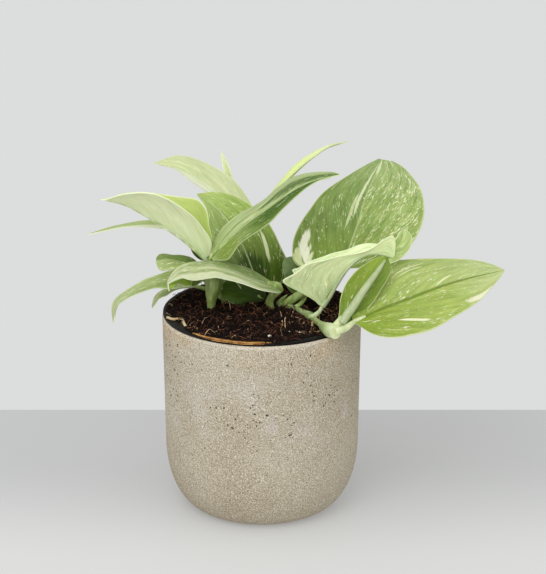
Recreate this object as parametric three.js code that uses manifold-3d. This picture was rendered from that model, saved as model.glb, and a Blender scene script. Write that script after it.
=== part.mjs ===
// Potted scindapsus: a trailing aroid with marbled leaves, in a black grow pot inside a stoneware pot.
// Millimetres, +Z up, origin at the middle of the pot's base, -Y is the front.
import * as THREE from 'three';
import { mergeVertices } from 'three/addons/utils/BufferGeometryUtils.js';
import Module from 'manifold-3d';

const wasm = await Module();
wasm.setup();

// Stoneware pot
const potRadius = 65;
const potHeight = 132;
const potShoulderRadius = 63.8;
const potShoulderHeight = 44;
const potFootRadius = 41;
const potWall = 4;
const potFloor = 6;
const potLipRound = 1.6;
const potSegments = 48;

// Grow pot, hung by its rim on the lip of the stoneware pot, pushed a little to the back left
const clearance = 0.3;
const growRimRadius = 63.4;
const growRimThickness = 1;
const growTopRadius = 59;
const growPlace = [-1.2, 1, 0];
const growFootRadius = 47;
const growWall = 1.2;
const growFootHeight = 21;
const drainHoleRadius = 4.5;
const drainHoleCircle = 30;
const drainHoleCount = 4;
const drainCutLength = 8;

// Potting mix
const mixRimHeight = 131;
const mixCrownHeight = 133.5;
const rootedDepth = 14;
const washCentre = [-42, -34, 138];
const washRadius = 13;

// Dry husk strip, lying on the front of the grow pot's rim
const huskRadius = 61;
const huskThickness = 1;
const huskHeight = 1.6;
const huskFrom = 222;
const huskTo = 277;

// Leaves
const bladeThickness = 0.9;
const marginThickness = 0.5;
const foldWidth = 5;
const rootHalfWidth = 1.4;
const tipHalfWidth = 0.5;
const bladeSteps = 10;
const halfSteps = 2;
const petioleSides = 6;
const petioleRadii = [2.2, 1.2];

const colours = {
  stoneware: 0xb3a895,
  growPot: 0x1b1c1a,
  mix: 0x2e1d15,
  stem: 0x86ad6a,
  midGreen: 0x6f9a45,
  paleGreen: 0xbcd38a,
  darkGreen: 0x3f6b34,
  yellowGreen: 0xa9c84f,
  root: 0xd9c79a,
  husk: 0xa8743a,
};

// Stems: path points from inside the mix to the growing end, with a radius at each end
const stems = {
  left_stem: {
    path: [[-33, 4, 131 - rootedDepth], [-33, 4, 131], [-33, 5, 140], [-31, 6, 149], [-32, 8, 158]],
    radii: [2.5, 3.1],
  },
  left_side_stem: {
    path: [[-25, 13, 131 - rootedDepth], [-25, 13, 131], [-25, 13, 138], [-27, 15, 145]],
    radii: [1.7, 1.6],
  },
  back_stem: {
    path: [[-3, 35, 131 - rootedDepth], [-3, 36, 131], [-5, 38, 143], [-7, 42, 156]],
    radii: [2.6, 2.4],
  },
  creeping_stem: {
    path: [[5, 22, 131 - rootedDepth], [9, 14, 130], [16, 5, 134.3], [23, -3, 134.8], [28, -10, 135],
      [33, -20, 135.3], [37, -31, 135.8], [42, -44, 136.8], [47, -52, 137.6]],
    radii: [2, 2.6],
  },
};

// Roots and the young bud: a route and the radius at each end
const shoots = {
  pale_root: {
    path: [[-61, -17, 134.8], [-57, -20, 134.5], [-52.5, -17, 133.6], [-50, -23, 132.6], [-46.5, -33, 129]],
    radii: [0.8, 0.7], colour: 'root', on: 'mix',
  },
  aerial_root: {
    path: [[33, -21, 134], [32.5, -28, 134], [32, -35, 133.5], [30.5, -41, 133]],
    radii: [0.9, 0.5], colour: 'root', on: 'creeping_stem',
  },
  young_bud: {
    path: [[10, 11, 133], [12.5, 11.5, 136], [16.5, 14.5, 139]],
    radii: [1.8, 0.9], colour: 'stem', on: 'creeping_stem',
  },
};

// Leaves: petiole from its seat to the blade, spine from the blade's base to its tip, and for each half
// [widest, slimness at the base, slimness at the tip] with its lift from the flat at base, middle and tip.
// face is the way the upper side looks at base, middle and tip. Left and right are seen from above,
// looking from the base to the tip. sweep pulls each margin back along the spine, as in a heart shape.
const leaves = [
  {
    name: 'leaf_back_left', on: 'back_stem', colour: 'paleGreen',
    petiole: [[-9, 40, 149], [-10.5, 42, 158], [-9, 44, 167]],
    spine: [[-9, 44, 167], [-18, 54, 186], [-35, 60, 199], [-53, 66, 209], [-73, 70, 213]],
    face: [[0.5, -0.3, 0.8], [0.5, -0.3, 0.8], [0.3, -0.3, 0.9]],
    left: [8, 0.7, 0.8], leftLift: [20, -15, -20],
    right: [18, 0.7, 0.6], rightLift: [25, 20, 5],
  },
  {
    name: 'leaf_back_spear', on: 'back_stem', colour: 'paleGreen',
    petiole: [[-6.5, 40, 143], [-11, 60, 159], [-16, 78, 176]],
    spine: [[-16, 78, 176], [-20, 84, 190], [-24, 88, 203], [-28, 92, 215]],
    face: [[0, -1, 0], [0, -1, 0], [0, -1, 0]],
    left: [3, 0.7, 0.8], leftLift: [40, 40, 30],
    right: [3, 0.7, 0.8], rightLift: [40, 40, 30],
  },
  {
    name: 'leaf_back_right', on: 'back_stem', colour: 'yellowGreen',
    petiole: [[-2, 41, 151], [3, 51, 160], [8, 64, 172]],
    spine: [[8, 64, 172], [19, 73, 193], [31, 80, 210], [44, 87, 219], [58, 92, 222]],
    face: [[-0.9, 0.2, 0.3], [-0.76, 0.2, 0.57], [-0.3, 0.3, 0.9]],
    left: [11, 0.7, 0.8], leftLift: [9, 9, 5],
    right: [11, 0.7, 0.8], rightLift: [9, 9, 5],
  },
  {
    name: 'leaf_left_pale', on: 'left_stem', colour: 'paleGreen',
    petiole: [[-33.5, 10.5, 156], [-35.5, 10.5, 161], [-37, 9, 166]],
    spine: [[-37, 9, 166], [-51, 9, 179], [-69, 8, 192], [-88, 8, 203], [-104, 8, 207]],
    face: [[0.7, 0, 0.7], [0.5, 0, 0.85], [0.2, 0, 1]],
    left: [30, 0.75, 0.9], leftLift: [65, 52, 35],
    right: [22, 0.65, 1.15], rightLift: [75, 68, 40],
  },
  {
    name: 'leaf_left_strap', on: 'back_stem', colour: 'midGreen',
    petiole: [[-4, 37, 140], [-20, 34, 158], [-38, 30, 174]],
    spine: [[-38, 30, 174], [-54, 30, 180], [-74, 31, 182], [-95, 32, 180], [-115, 33, 175]],
    face: [[0, 0, 1], [0, 0, 1], [0, 0, 1]],
    left: [6.5, 0.7, 0.8], leftLift: [8, 8, 8],
    right: [6.5, 0.7, 0.8], rightLift: [8, 8, 8],
  },
  {
    name: 'leaf_centre_broad', on: 'mix', colour: 'midGreen',
    petiole: [[1, 26, 131 - rootedDepth], [0, 26, 131], [-3, 25, 141]],
    spine: [[-3, 25, 141], [-8, 27, 156], [-14, 30, 170], [-27, 38, 188], [-43, 45, 199]],
    face: [[0.3, -0.9, 0.4], [0.3, -0.85, 0.5], [0.3, -0.7, 0.7]],
    left: [16, 0.6, 0.8], leftLift: [30, 30, 20],
    right: [26, 0.36, 0.95], rightLift: [5, 5, -10],
    sweep: [0, -0.4],
  },
  {
    name: 'leaf_centre_pointed', on: 'left_stem', colour: 'darkGreen',
    petiole: [[-31.5, 5, 156], [-32, 3.5, 163], [-33, 1, 170]],
    spine: [[-33, 1, 170], [-17, -1, 187], [3, -2, 203], [26, -2, 219], [50, 0, 226]],
    face: [[-0.6, 0, 0.8], [-0.5, 0, 0.85], [-0.3, 0, 0.9]],
    left: [16, 0.5, 0.65], leftLift: [20, 14, 12],
    right: [13, 0.6, 0.8], rightLift: [-60, -8, 0],
  },
  {
    name: 'leaf_front', on: 'mix', clearOf: ['leaf_centre_pointed', 'leaf_left_pale'], colour: 'midGreen',
    petiole: [[6, 3, 131 - rootedDepth], [6, 3, 131], [5.5, 2.5, 138], [6, 1, 146]],
    spine: [[10, 0, 149], [-4, -6, 157], [-21, -10, 165], [-40, -12, 169], [-53, -14, 165], [-58, -18, 154]],
    face: [[0, -0.1, 1], [0, -0.1, 1], [-0.8, -0.3, 0.5]],
    left: [15, 0.4, 0.5], leftLift: [0, 0, -20],
    right: [18, 0.45, 0.5], rightLift: [0, 0, -50],
  },
  {
    name: 'leaf_right_fan', on: 'creeping_stem', colour: 'paleGreen',
    petiole: [[33, -20, 136], [37, -21, 140], [39, -21, 144]],
    spine: [[39, -21, 144], [44, -22, 153], [49, -21, 162], [56, -19, 171], [65, -14, 176], [75, -10, 176],
      [85, -7, 172]],
    face: [[-0.8, 0.2, 0.5], [-0.7, 0.2, 0.7], [0, 0.2, 1]],
    left: [26, 0.4, 2.2], leftLift: [75, 75, 60],
    right: [35, 0.4, 2.6], rightLift: [60, 60, 60],
    sweep: [-0.4, -0.5],
  },
  {
    name: 'leaf_right_tall', on: 'creeping_stem', colour: 'midGreen',
    petiole: [[15, 6, 135], [22, 4, 141], [32, 5, 147], [43, 7, 153], [53, 9, 160]],
    spine: [[53, 9, 160], [59, 26, 172], [64, 41, 181], [68, 55, 191], [74, 69, 201], [81, 82, 212]],
    face: [[-0.1, -0.4, 0.9], [-0.1, -0.4, 0.9], [-0.1, -0.3, 0.9]],
    left: [37, 0.35, 0.85], leftLift: [5, 5, 0],
    right: [42, 0.5, 0.35], rightLift: [5, 5, 0],
    sweep: [-0.2, 0],
  },
  {
    name: 'leaf_right_low', on: 'creeping_stem', colour: 'yellowGreen',
    petiole: [[46.5, -52, 138], [53, -49, 139], [59, -42, 141]],
    spine: [[59, -42, 141], [73, -34, 145], [92, -22, 148], [125, -4, 154], [159, 12, 157]],
    face: [[-0.1, -0.5, 0.87], [-0.1, -0.45, 0.87], [-0.1, -0.4, 0.9]],
    left: [28, 0.65, 0.95], leftLift: [10, 5, 0],
    right: [35, 0.42, 0.85], rightLift: [5, 5, 0],
    sweep: [0.55, 0],
  },
  {
    name: 'leaf_right_folded', on: 'creeping_stem', colour: 'yellowGreen',
    petiole: [[43, -45, 138], [48, -36, 141], [53, -27, 142]],
    spine: [[53, -27, 142], [59.5, -21, 149.5], [66.5, -14, 156], [74.5, -7, 163], [82, 1, 168]],
    face: [[-0.35, 0.9, 0], [-0.35, 0.9, 0], [-0.35, 0.9, 0]],
    left: [11, 0.6, 0.7], leftLift: [25, 25, 20],
    right: [13, 0.6, 0.7], rightLift: [25, 25, 20],
  },
  {
    name: 'leaf_left_low', on: 'left_stem', colour: 'midGreen',
    petiole: [[-31, 6.5, 150], [-40, 6, 153], [-50, 4, 154]],
    spine: [[-50, 4, 154], [-62, 2, 153], [-75, 0, 149], [-88, -2, 143], [-95, -3, 137], [-97, -4, 126]],
    face: [[0, -0.4, 0.9], [-0.2, -0.4, 0.9], [-0.8, -0.3, 0.4]],
    left: [6, 0.6, 0.8], leftLift: [-5, -5, -10],
    right: [10, 0.6, 0.8], rightLift: [0, 0, 0],
  },
  {
    name: 'leaf_left_blunt', on: 'left_side_stem', colour: 'darkGreen',
    petiole: [[-28, 13, 144], [-35, 16, 151], [-42, 22, 156]],
    spine: [[-42, 22, 156], [-52, 24, 159], [-62, 26, 160], [-70, 27, 159]],
    face: [[0, -0.3, 0.9], [0, -0.3, 0.9], [-0.5, -0.3, 0.8]],
    left: [11, 0.5, 0.35], leftLift: [0, 0, 0],
    right: [8, 0.5, 0.35], rightLift: [0, 0, 0],
  },
  {
    name: 'leaf_left_hook', on: 'left_side_stem', colour: 'midGreen',
    petiole: [[-25, 13.5, 136.5], [-34, 17, 141], [-46, 21, 143]],
    spine: [[-46, 21, 143], [-58, 22, 141], [-68, 22, 136], [-73, 22, 127]],
    face: [[0, -0.3, 0.9], [-0.3, -0.3, 0.9], [-0.9, -0.3, 0.3]],
    left: [6, 0.6, 0.7], leftLift: [-5, -5, -5],
    right: [6, 0.6, 0.7], rightLift: [0, 0, 0],
  },
  {
    name: 'leaf_left_tip', on: 'left_side_stem', colour: 'darkGreen',
    petiole: [[-24, 16, 143], [-28, 20, 152], [-35, 22, 161]],
    spine: [[-35, 22, 161], [-40, 22, 166], [-44, 23, 172], [-46, 24, 179]],
    face: [[0.4, -0.9, 0.2], [0.4, -0.9, 0.2], [0.4, -0.9, 0.2]],
    left: [5, 0.6, 0.8], leftLift: [10, 10, 10],
    right: [5, 0.6, 0.8], rightLift: [10, 10, 10],
  },
  {
    name: 'leaf_shaded', on: 'mix', colour: 'darkGreen',
    petiole: [[1, 15, 131 - rootedDepth], [1, 15, 131], [-2, 14, 138]],
    spine: [[-2, 14, 138], [-10, 13, 142], [-17, 12, 144], [-23, 13, 143]],
    face: [[0, -0.8, 0.6], [0, -0.8, 0.6], [0, -0.8, 0.6]],
    left: [8.5, 0.5, 0.5], leftLift: [0, 0, 0],
    right: [6, 0.5, 0.5], rightLift: [0, 0, 0],
  },
  {
    name: 'leaf_under_fan', on: 'creeping_stem', colour: 'darkGreen',
    petiole: [[22, -2, 135.5], [27, 4, 138.5], [29, 8, 142]],
    spine: [[29, 8, 142], [25, 9, 147], [20, 10, 152], [15, 11, 158]],
    face: [[0.3, -0.9, 0.2], [0.3, -0.9, 0.2], [0.3, -0.9, 0.2]],
    left: [8, 0.6, 0.6], leftLift: [0, 0, 0],
    right: [9, 0.6, 0.6], rightLift: [0, 0, 0],
  },
  {
    name: 'leaf_behind_fan', on: 'mix', colour: 'midGreen',
    petiole: [[22, 24, 131 - rootedDepth], [22, 24, 131], [23, 24, 140]],
    spine: [[23, 24, 140], [23, 25, 146], [21, 26, 153], [15, 27, 160]],
    face: [[0.2, -0.9, 0.2], [0.2, -0.9, 0.2], [0.2, -0.9, 0.2]],
    left: [8, 0.6, 0.6], leftLift: [0, 0, 0],
    right: [8, 0.6, 0.6], rightLift: [0, 0, 0],
  },
];

const vec = (p) => new THREE.Vector3(...p);
const route = (points) => new THREE.CatmullRomCurve3(points.map(vec), false, 'catmullrom', 0.5);
const lerp = THREE.MathUtils.lerp;
const rad = THREE.MathUtils.degToRad;

// A value given at base, middle and tip, read anywhere between
function along(values, t) {
  const at = t * (values.length - 1);
  const i = Math.min(Math.floor(at), values.length - 2);
  const f = at - i;
  if (Array.isArray(values[0])) {
    return vec(values[i]).lerp(vec(values[i + 1]), f);
  }
  return lerp(values[i], values[i + 1], f);
}

// A closed solid through rings of equal length. The second half of each ring splits its quads the other way,
// so that both faces of a thin sheet follow the same lines.
function loft(rings) {
  const count = rings[0].length;
  const points = rings.flat();
  const index = [];
  for (let i = 0; i < rings.length - 1; i++) {
    for (let j = 0; j < count; j++) {
      const a = i * count + j;
      const b = i * count + (j + 1) % count;
      if (j < count / 2) {
        index.push(a, b, b + count, a, b + count, a + count);
      } else {
        index.push(a, b, a + count, b, b + count, a + count);
      }
    }
  }
  const last = (rings.length - 1) * count;
  for (let j = 1; j < count - 1; j++) {
    index.push(0, j + 1, j);
    index.push(last, last + j, last + j + 1);
  }
  const geometry = new THREE.BufferGeometry().setFromPoints(points);
  geometry.setIndex(index);
  return geometry;
}

function toSolid(geometry) {
  geometry.deleteAttribute('normal');
  geometry.deleteAttribute('uv');
  const merged = mergeVertices(geometry, 1e-4);
  return new wasm.Manifold(new wasm.Mesh({
    numProp: 3,
    vertProperties: new Float32Array(merged.attributes.position.array),
    triVerts: new Uint32Array(merged.index.array),
  }));
}

function toGeometry(solid) {
  const mesh = solid.getMesh();
  const geometry = new THREE.BufferGeometry();
  geometry.setAttribute('position', new THREE.BufferAttribute(mesh.vertProperties, 3));
  geometry.setIndex(new THREE.BufferAttribute(mesh.triVerts, 1));
  return geometry;
}

// A round rod along a route, tapering from the first radius to the last, and longer by grow at both ends
function rod(points, radii, { sides = petioleSides, steps = 8, grow = 0 } = {}) {
  const curve = route(points);
  const frames = curve.computeFrenetFrames(steps, false);
  const rings = [];
  for (let i = 0; i <= steps; i++) {
    const centre = curve.getPointAt(i / steps);
    const overrun = i === 0 ? -grow : grow;
    if (i === 0 || i === steps) {
      centre.addScaledVector(curve.getTangentAt(i / steps), overrun);
    }
    const radius = lerp(radii[0], radii[1], i / steps) + grow;
    const ring = [];
    for (let j = 0; j < sides; j++) {
      const angle = (2 * Math.PI * j) / sides;
      ring.push(centre.clone()
        .addScaledVector(frames.normals[i], radius * Math.cos(angle))
        .addScaledVector(frames.binormals[i], radius * Math.sin(angle)));
    }
    rings.push(ring);
  }
  return loft(rings);
}

// Half width of a blade at t, which runs from 0 at its base to 1 at its tip
function halfWidth([widest, base, tip], t) {
  const peak = base / (base + tip);
  const scale = (peak ** base) * ((1 - peak) ** tip);
  return (widest * (t ** base) * ((1 - t) ** tip)) / scale;
}

// A leaf blade: two halves on a curved spine, each leaning up by its lift, flatter where the blade is narrow
function blade(leaf, grow) {
  const spine = route(leaf.spine);
  const rings = [];
  for (let i = 0; i <= bladeSteps; i++) {
    const t = (1 - Math.cos((Math.PI * i) / bladeSteps)) / 2;
    const mid = spine.getPointAt(t);
    const ahead = spine.getTangentAt(t);
    const up = along(leaf.face, t);
    up.addScaledVector(ahead, -up.dot(ahead)).normalize();
    const side = ahead.clone().cross(up);
    const upper = [];
    const lower = [];
    const [leftSweep, rightSweep] = leaf.sweep ?? [0, 0];
    const halves = [
      [-1, leaf.left, leaf.leftLift, leftSweep],
      [1, leaf.right, leaf.rightLift, rightSweep],
    ];
    for (const [sign, shape, lift, sweep] of halves) {
      const width = Math.max(halfWidth(shape, t), lerp(rootHalfWidth, tipHalfWidth, t)) + grow;
      const angle = rad(along(lift, t)) * Math.min(1, width / foldWidth);
      const out = side.clone().multiplyScalar(sign * Math.cos(angle)).addScaledVector(up, Math.sin(angle));
      const back = width * sweep * Math.sin(Math.PI * t);
      const normal = up.clone().multiplyScalar(Math.cos(angle));
      normal.addScaledVector(side, -sign * Math.sin(angle));
      for (let k = sign < 0 ? halfSteps : 1; sign < 0 ? k > 0 : k <= halfSteps; k += sign) {
        const u = k / halfSteps;
        const half = lerp(bladeThickness, marginThickness, u) / 2 + grow;
        const point = mid.clone().addScaledVector(out, width * u).addScaledVector(ahead, back * u);
        upper.push(point.clone().addScaledVector(normal, half));
        lower.push(point.clone().addScaledVector(normal, -half));
      }
      if (sign < 0) {
        upper.push(mid.clone().addScaledVector(up, bladeThickness / 2 + grow));
        lower.push(mid.clone().addScaledVector(up, -bladeThickness / 2 - grow));
      }
    }
    rings.push([...upper, ...lower.reverse()]);
  }
  return toSolid(loft(rings));
}

// The stalk runs a short way into the blade as the thick start of its midrib
function petioleSolid(leaf, grow) {
  const end = vec(leaf.spine[0]).lerp(vec(leaf.spine[1]), 0.5).toArray();
  return toSolid(rod([...leaf.petiole, end], petioleRadii, { grow }));
}

function leafSolid(leaf, grow = 0) {
  return petioleSolid(leaf, grow).add(blade(leaf, grow));
}

const root = new THREE.Group();

function addPiece(name, geometry, colour, roughness = 0.6) {
  const material = new THREE.MeshStandardMaterial({ color: colours[colour], roughness, metalness: 0 });
  const mesh = new THREE.Mesh(geometry, material);
  mesh.name = name;
  root.add(mesh);
}

function turned(profile, segments) {
  return new THREE.LatheGeometry(profile.map(([r, z]) => new THREE.Vector2(r, z)), segments)
    .rotateX(Math.PI / 2);
}

// Quarter of an ellipse from the flat base up to the wall
function corner(footRadius, wallRadius, low, high, steps) {
  const points = [];
  for (let i = 0; i <= steps; i++) {
    const angle = (Math.PI / 2) * (i / steps);
    points.push([
      footRadius + (wallRadius - footRadius) * Math.sin(angle),
      high - (high - low) * Math.cos(angle),
    ]);
  }
  return points;
}

function stonewarePot() {
  const inside = potRadius - potWall;
  const outer = corner(potFootRadius, potShoulderRadius, 0, potShoulderHeight, 8);
  const inner = corner(potFootRadius - potWall, potShoulderRadius - potWall, potFloor, potShoulderHeight, 6);
  return turned([
    [0, 0],
    ...outer,
    [potRadius, potHeight - potLipRound],
    [potRadius - potLipRound / 2, potHeight],
    [inside + potLipRound / 2, potHeight],
    [inside, potHeight - potLipRound],
    ...inner.reverse(),
    [0, potFloor],
  ], potSegments);
}

function growPot() {
  const seat = potHeight + clearance;
  const top = seat + growRimThickness;
  const mouth = growTopRadius - growWall;
  const shell = toSolid(turned([
    [0, growFootHeight],
    [growFootRadius, growFootHeight],
    [growTopRadius, seat],
    [growRimRadius, seat],
    [growRimRadius, top],
    [mouth, top],
    [growFootRadius - growWall, growFootHeight + growWall],
    [0, growFootHeight + growWall],
  ], potSegments));
  const cutter = new THREE.CylinderGeometry(drainHoleRadius, drainHoleRadius, drainCutLength, 12)
    .rotateX(Math.PI / 2);
  const hole = (x, y) => toSolid(cutter.clone().translate(x, y, growFootHeight));
  let pot = shell.subtract(hole(0, 0));
  for (let i = 0; i < drainHoleCount; i++) {
    const angle = (2 * Math.PI * i) / drainHoleCount;
    pot = pot.subtract(hole(drainHoleCircle * Math.cos(angle), drainHoleCircle * Math.sin(angle)));
  }
  return toGeometry(pot).translate(...growPlace);
}

// The mix fills the grow pot to a low mound, with a hollow at the front left where it has washed down
function pottingMix() {
  const foot = growFootHeight + growWall + clearance;
  const slope = (growTopRadius - growFootRadius) / (potHeight - growFootHeight);
  const wallAt = (z) => growFootRadius - growWall - 2 * clearance + slope * (z - growFootHeight);
  const rim = wallAt(mixRimHeight);
  const geometry = turned([
    [0, foot],
    [wallAt(foot), foot],
    [rim, mixRimHeight],
    [rim * 0.85, lerp(mixRimHeight, mixCrownHeight, 0.6)],
    [rim * 0.6, lerp(mixRimHeight, mixCrownHeight, 0.9)],
    [rim * 0.3, mixCrownHeight],
    [0, mixCrownHeight],
  ], potSegments).translate(...growPlace);
  const hollow = new THREE.SphereGeometry(washRadius, 16, 10).translate(...washCentre);
  return toSolid(geometry).subtract(toSolid(hollow));
}

const stemSolid = (stem, grow = 0) => toSolid(rod(stem.path, stem.radii, { sides: 10, steps: 10, grow }));

// The biggest connected body, so that no crumb of a cut stays
function biggest(solid) {
  return solid.decompose().sort((a, b) => b.volume() - a.volume())[0];
}

const shootSolid = (shoot, grow = 0) => toSolid(rod(shoot.path, shoot.radii, { sides: 6, steps: 6, grow }));

function huskStrip() {
  const points = [];
  for (let angle = huskFrom; angle <= huskTo; angle += 5) {
    points.push(new THREE.Vector3(huskRadius * Math.cos(rad(angle)), huskRadius * Math.sin(rad(angle)),
      potHeight + growRimThickness + 2 * clearance + huskHeight / 2));
  }
  const section = new THREE.Shape()
    .moveTo(-huskHeight / 2, -huskThickness / 2)
    .lineTo(huskHeight / 2, -huskThickness / 2)
    .lineTo(huskHeight / 2, huskThickness / 2)
    .lineTo(-huskHeight / 2, huskThickness / 2);
  const extrudePath = new THREE.CatmullRomCurve3(points);
  return new THREE.ExtrudeGeometry(section, { steps: 12, extrudePath });
}

// A piece growing from a stem is cut clear of it and of the leaves that it wraps around
function cutClear(solid, seat, others = []) {
  let clear = seat === 'mix' ? solid : solid.subtract(stemSolid(stems[seat], clearance));
  for (const name of others) {
    clear = clear.subtract(leafSolid(leaves.find((leaf) => leaf.name === name), clearance));
  }
  return biggest(clear);
}

addPiece('stoneware_pot', stonewarePot(), 'stoneware', 0.8);
addPiece('grow_pot', growPot(), 'growPot', 0.5);

let mix = pottingMix();
for (const stem of Object.values(stems)) {
  mix = mix.subtract(stemSolid(stem, clearance));
}
for (const leaf of leaves) {
  mix = mix.subtract(petioleSolid(leaf, clearance));
}
for (const shoot of Object.values(shoots)) {
  mix = mix.subtract(shootSolid(shoot, clearance));
}
addPiece('potting_mix', toGeometry(biggest(mix)), 'mix', 0.95);
addPiece('husk_strip', huskStrip(), 'husk', 0.8);

for (const [name, stem] of Object.entries(stems)) {
  addPiece(name, toGeometry(stemSolid(stem)), 'stem');
}

for (const [name, shoot] of Object.entries(shoots)) {
  addPiece(name, toGeometry(cutClear(shootSolid(shoot), shoot.on)), shoot.colour);
}

for (const leaf of leaves) {
  addPiece(leaf.name, toGeometry(cutClear(leafSolid(leaf), leaf.on, leaf.clearOf)), leaf.colour);
}

export default root;
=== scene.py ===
import math
import random

import bpy
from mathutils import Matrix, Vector, noise


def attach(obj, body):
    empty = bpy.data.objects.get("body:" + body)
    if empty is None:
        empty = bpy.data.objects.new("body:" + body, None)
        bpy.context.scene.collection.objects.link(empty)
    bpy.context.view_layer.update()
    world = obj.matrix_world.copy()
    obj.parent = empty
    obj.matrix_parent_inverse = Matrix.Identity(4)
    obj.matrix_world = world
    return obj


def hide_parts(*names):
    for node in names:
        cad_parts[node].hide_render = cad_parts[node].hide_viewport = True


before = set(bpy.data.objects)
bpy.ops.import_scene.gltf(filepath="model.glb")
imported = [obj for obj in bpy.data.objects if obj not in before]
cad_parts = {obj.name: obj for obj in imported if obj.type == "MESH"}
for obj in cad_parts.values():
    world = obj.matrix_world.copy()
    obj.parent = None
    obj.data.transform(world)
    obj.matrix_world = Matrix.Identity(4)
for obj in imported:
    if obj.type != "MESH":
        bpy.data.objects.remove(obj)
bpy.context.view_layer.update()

mm = 0.001
random.seed(11)
print("frame loaded")


# small helpers

def lerp(a, b, f):
    return a + (b - a) * f


def tone(red, green, blue, lit=0.9):
    # a colour as it looks on screen, turned into what the surface is painted with
    def linear(c):
        c = c / 255
        return c / 12.92 if c <= 0.04045 else ((c + 0.055) / 1.055) ** 2.4
    return tuple(min(linear(c) / lit, 0.95) for c in (red, green, blue)) + (1,)


def along(values, t):
    # values given at evenly spaced places from base to tip, read at t
    at = t * (len(values) - 1)
    i = min(int(at), len(values) - 2)
    f = at - i
    if isinstance(values[0], (tuple, list, Vector)):
        return Vector(values[i]).lerp(Vector(values[i + 1]), f)
    return lerp(values[i], values[i + 1], f)


class Route:
    # a smooth curve through points, read by its length
    def __init__(self, points, count=200):
        self.points = [Vector(p) for p in points]
        self.samples = [self.raw(i / count) for i in range(count + 1)]
        self.lengths = [0.0]
        for a, b in zip(self.samples, self.samples[1:]):
            self.lengths.append(self.lengths[-1] + (b - a).length)

    def raw(self, t):
        points = self.points
        at = t * (len(points) - 1)
        i = min(int(at), len(points) - 2)
        f = at - i
        b = points[i]
        c = points[i + 1]
        a = points[i - 1] if i > 0 else 2 * b - c
        d = points[i + 2] if i + 2 < len(points) else 2 * c - b
        startPull = (c - a) / 2
        endPull = (d - b) / 2
        return (b + startPull * f + (3 * (c - b) - 2 * startPull - endPull) * f ** 2
                + (2 * (b - c) + startPull + endPull) * f ** 3)

    def at(self, t):
        goal = min(max(t, 0), 1) * self.lengths[-1]
        low, high = 0, len(self.lengths) - 1
        while high - low > 1:
            middle = (low + high) // 2
            if self.lengths[middle] <= goal:
                low = middle
            else:
                high = middle
        span = self.lengths[high] - self.lengths[low]
        f = (goal - self.lengths[low]) / span if span else 0
        return self.samples[low].lerp(self.samples[high], f)

    def heading(self, t):
        return (self.at(min(t + 0.01, 1)) - self.at(max(t - 0.01, 0))).normalized()


def clearSelection():
    if bpy.context.object and bpy.context.object.mode != "OBJECT":
        bpy.ops.object.mode_set(mode="OBJECT")
    bpy.ops.object.select_all(action="DESELECT")


def pick(piece):
    clearSelection()
    piece.select_set(True)
    bpy.context.view_layer.objects.active = piece


def applyModifier(piece, name, kind, **values):
    pick(piece)
    modifier = piece.modifiers.new(name, kind)
    for key, value in values.items():
        setattr(modifier, key, value)
    bpy.ops.object.modifier_apply(modifier=modifier.name)


def smooth(piece, degrees):
    pick(piece)
    bpy.ops.object.shade_smooth_by_angle(angle=math.radians(degrees))


def wear(piece, *materials):
    # clearing also forgets which face wears which material
    if piece.data.materials:
        piece.data.materials.clear()
    for material in materials:
        piece.data.materials.append(material)


def faceOut(piece):
    pick(piece)
    bpy.ops.object.mode_set(mode="EDIT")
    bpy.ops.mesh.select_all(action="SELECT")
    bpy.ops.mesh.normals_make_consistent(inside=False)
    bpy.ops.object.mode_set(mode="OBJECT")


def joinAll(name, pieces):
    pick(pieces[0])
    for piece in pieces:
        piece.select_set(True)
    bpy.ops.object.join()
    joined = bpy.context.object
    joined.name = name
    joined.data.name = name
    return joined


def hand(piece, slot, *nodes):
    # the piece rides on the plant and stands for these nodes
    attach(piece, "root")
    if nodes:
        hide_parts(*nodes)


class Wiring:
    # short ways to wire the nodes of a material or of the sky
    def __init__(self, tree):
        self.nodes = tree.nodes
        self.links = tree.links

    def put(self, socket, value):
        if isinstance(value, bpy.types.NodeSocket):
            self.links.new(value, socket)
        else:
            socket.default_value = value

    def add(self, kind, inputs=None, out=0, **settings):
        node = self.nodes.new(kind)
        for key, value in settings.items():
            setattr(node, key, value)
        for key, value in (inputs or {}).items():
            self.put(node.inputs[key], value)
        return node.outputs[out]

    def calc(self, operation, a, b=0.0, c=0.0):
        return self.add("ShaderNodeMath", {0: a, 1: b, 2: c}, operation=operation)

    def times(self, a, b):
        return self.calc("MULTIPLY", a, b)

    def ramp(self, value, low, high, start=0.0, end=1.0):
        return self.add("ShaderNodeMapRange", {"Value": value, "From Min": low, "From Max": high,
                                               "To Min": start, "To Max": end},
                        interpolation_type="SMOOTHSTEP")

    def blend(self, factor, a, b, how="MIX"):
        return self.add("ShaderNodeMix", {0: factor, 6: a, 7: b}, out=2, data_type="RGBA", blend_type=how)

    def grain(self, vector, scale, detail=2.0, roughness=0.5):
        return self.add("ShaderNodeTexNoise", {"Vector": vector, "Scale": scale, "Detail": detail,
                                               "Roughness": roughness})

    def place(self):
        # where a point lies on its piece, in metres
        return self.add("ShaderNodeTexCoord", out=3)

    def split(self, vector):
        node = self.nodes.new("ShaderNodeSeparateXYZ")
        self.links.new(vector, node.inputs[0])
        return node.outputs


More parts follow.
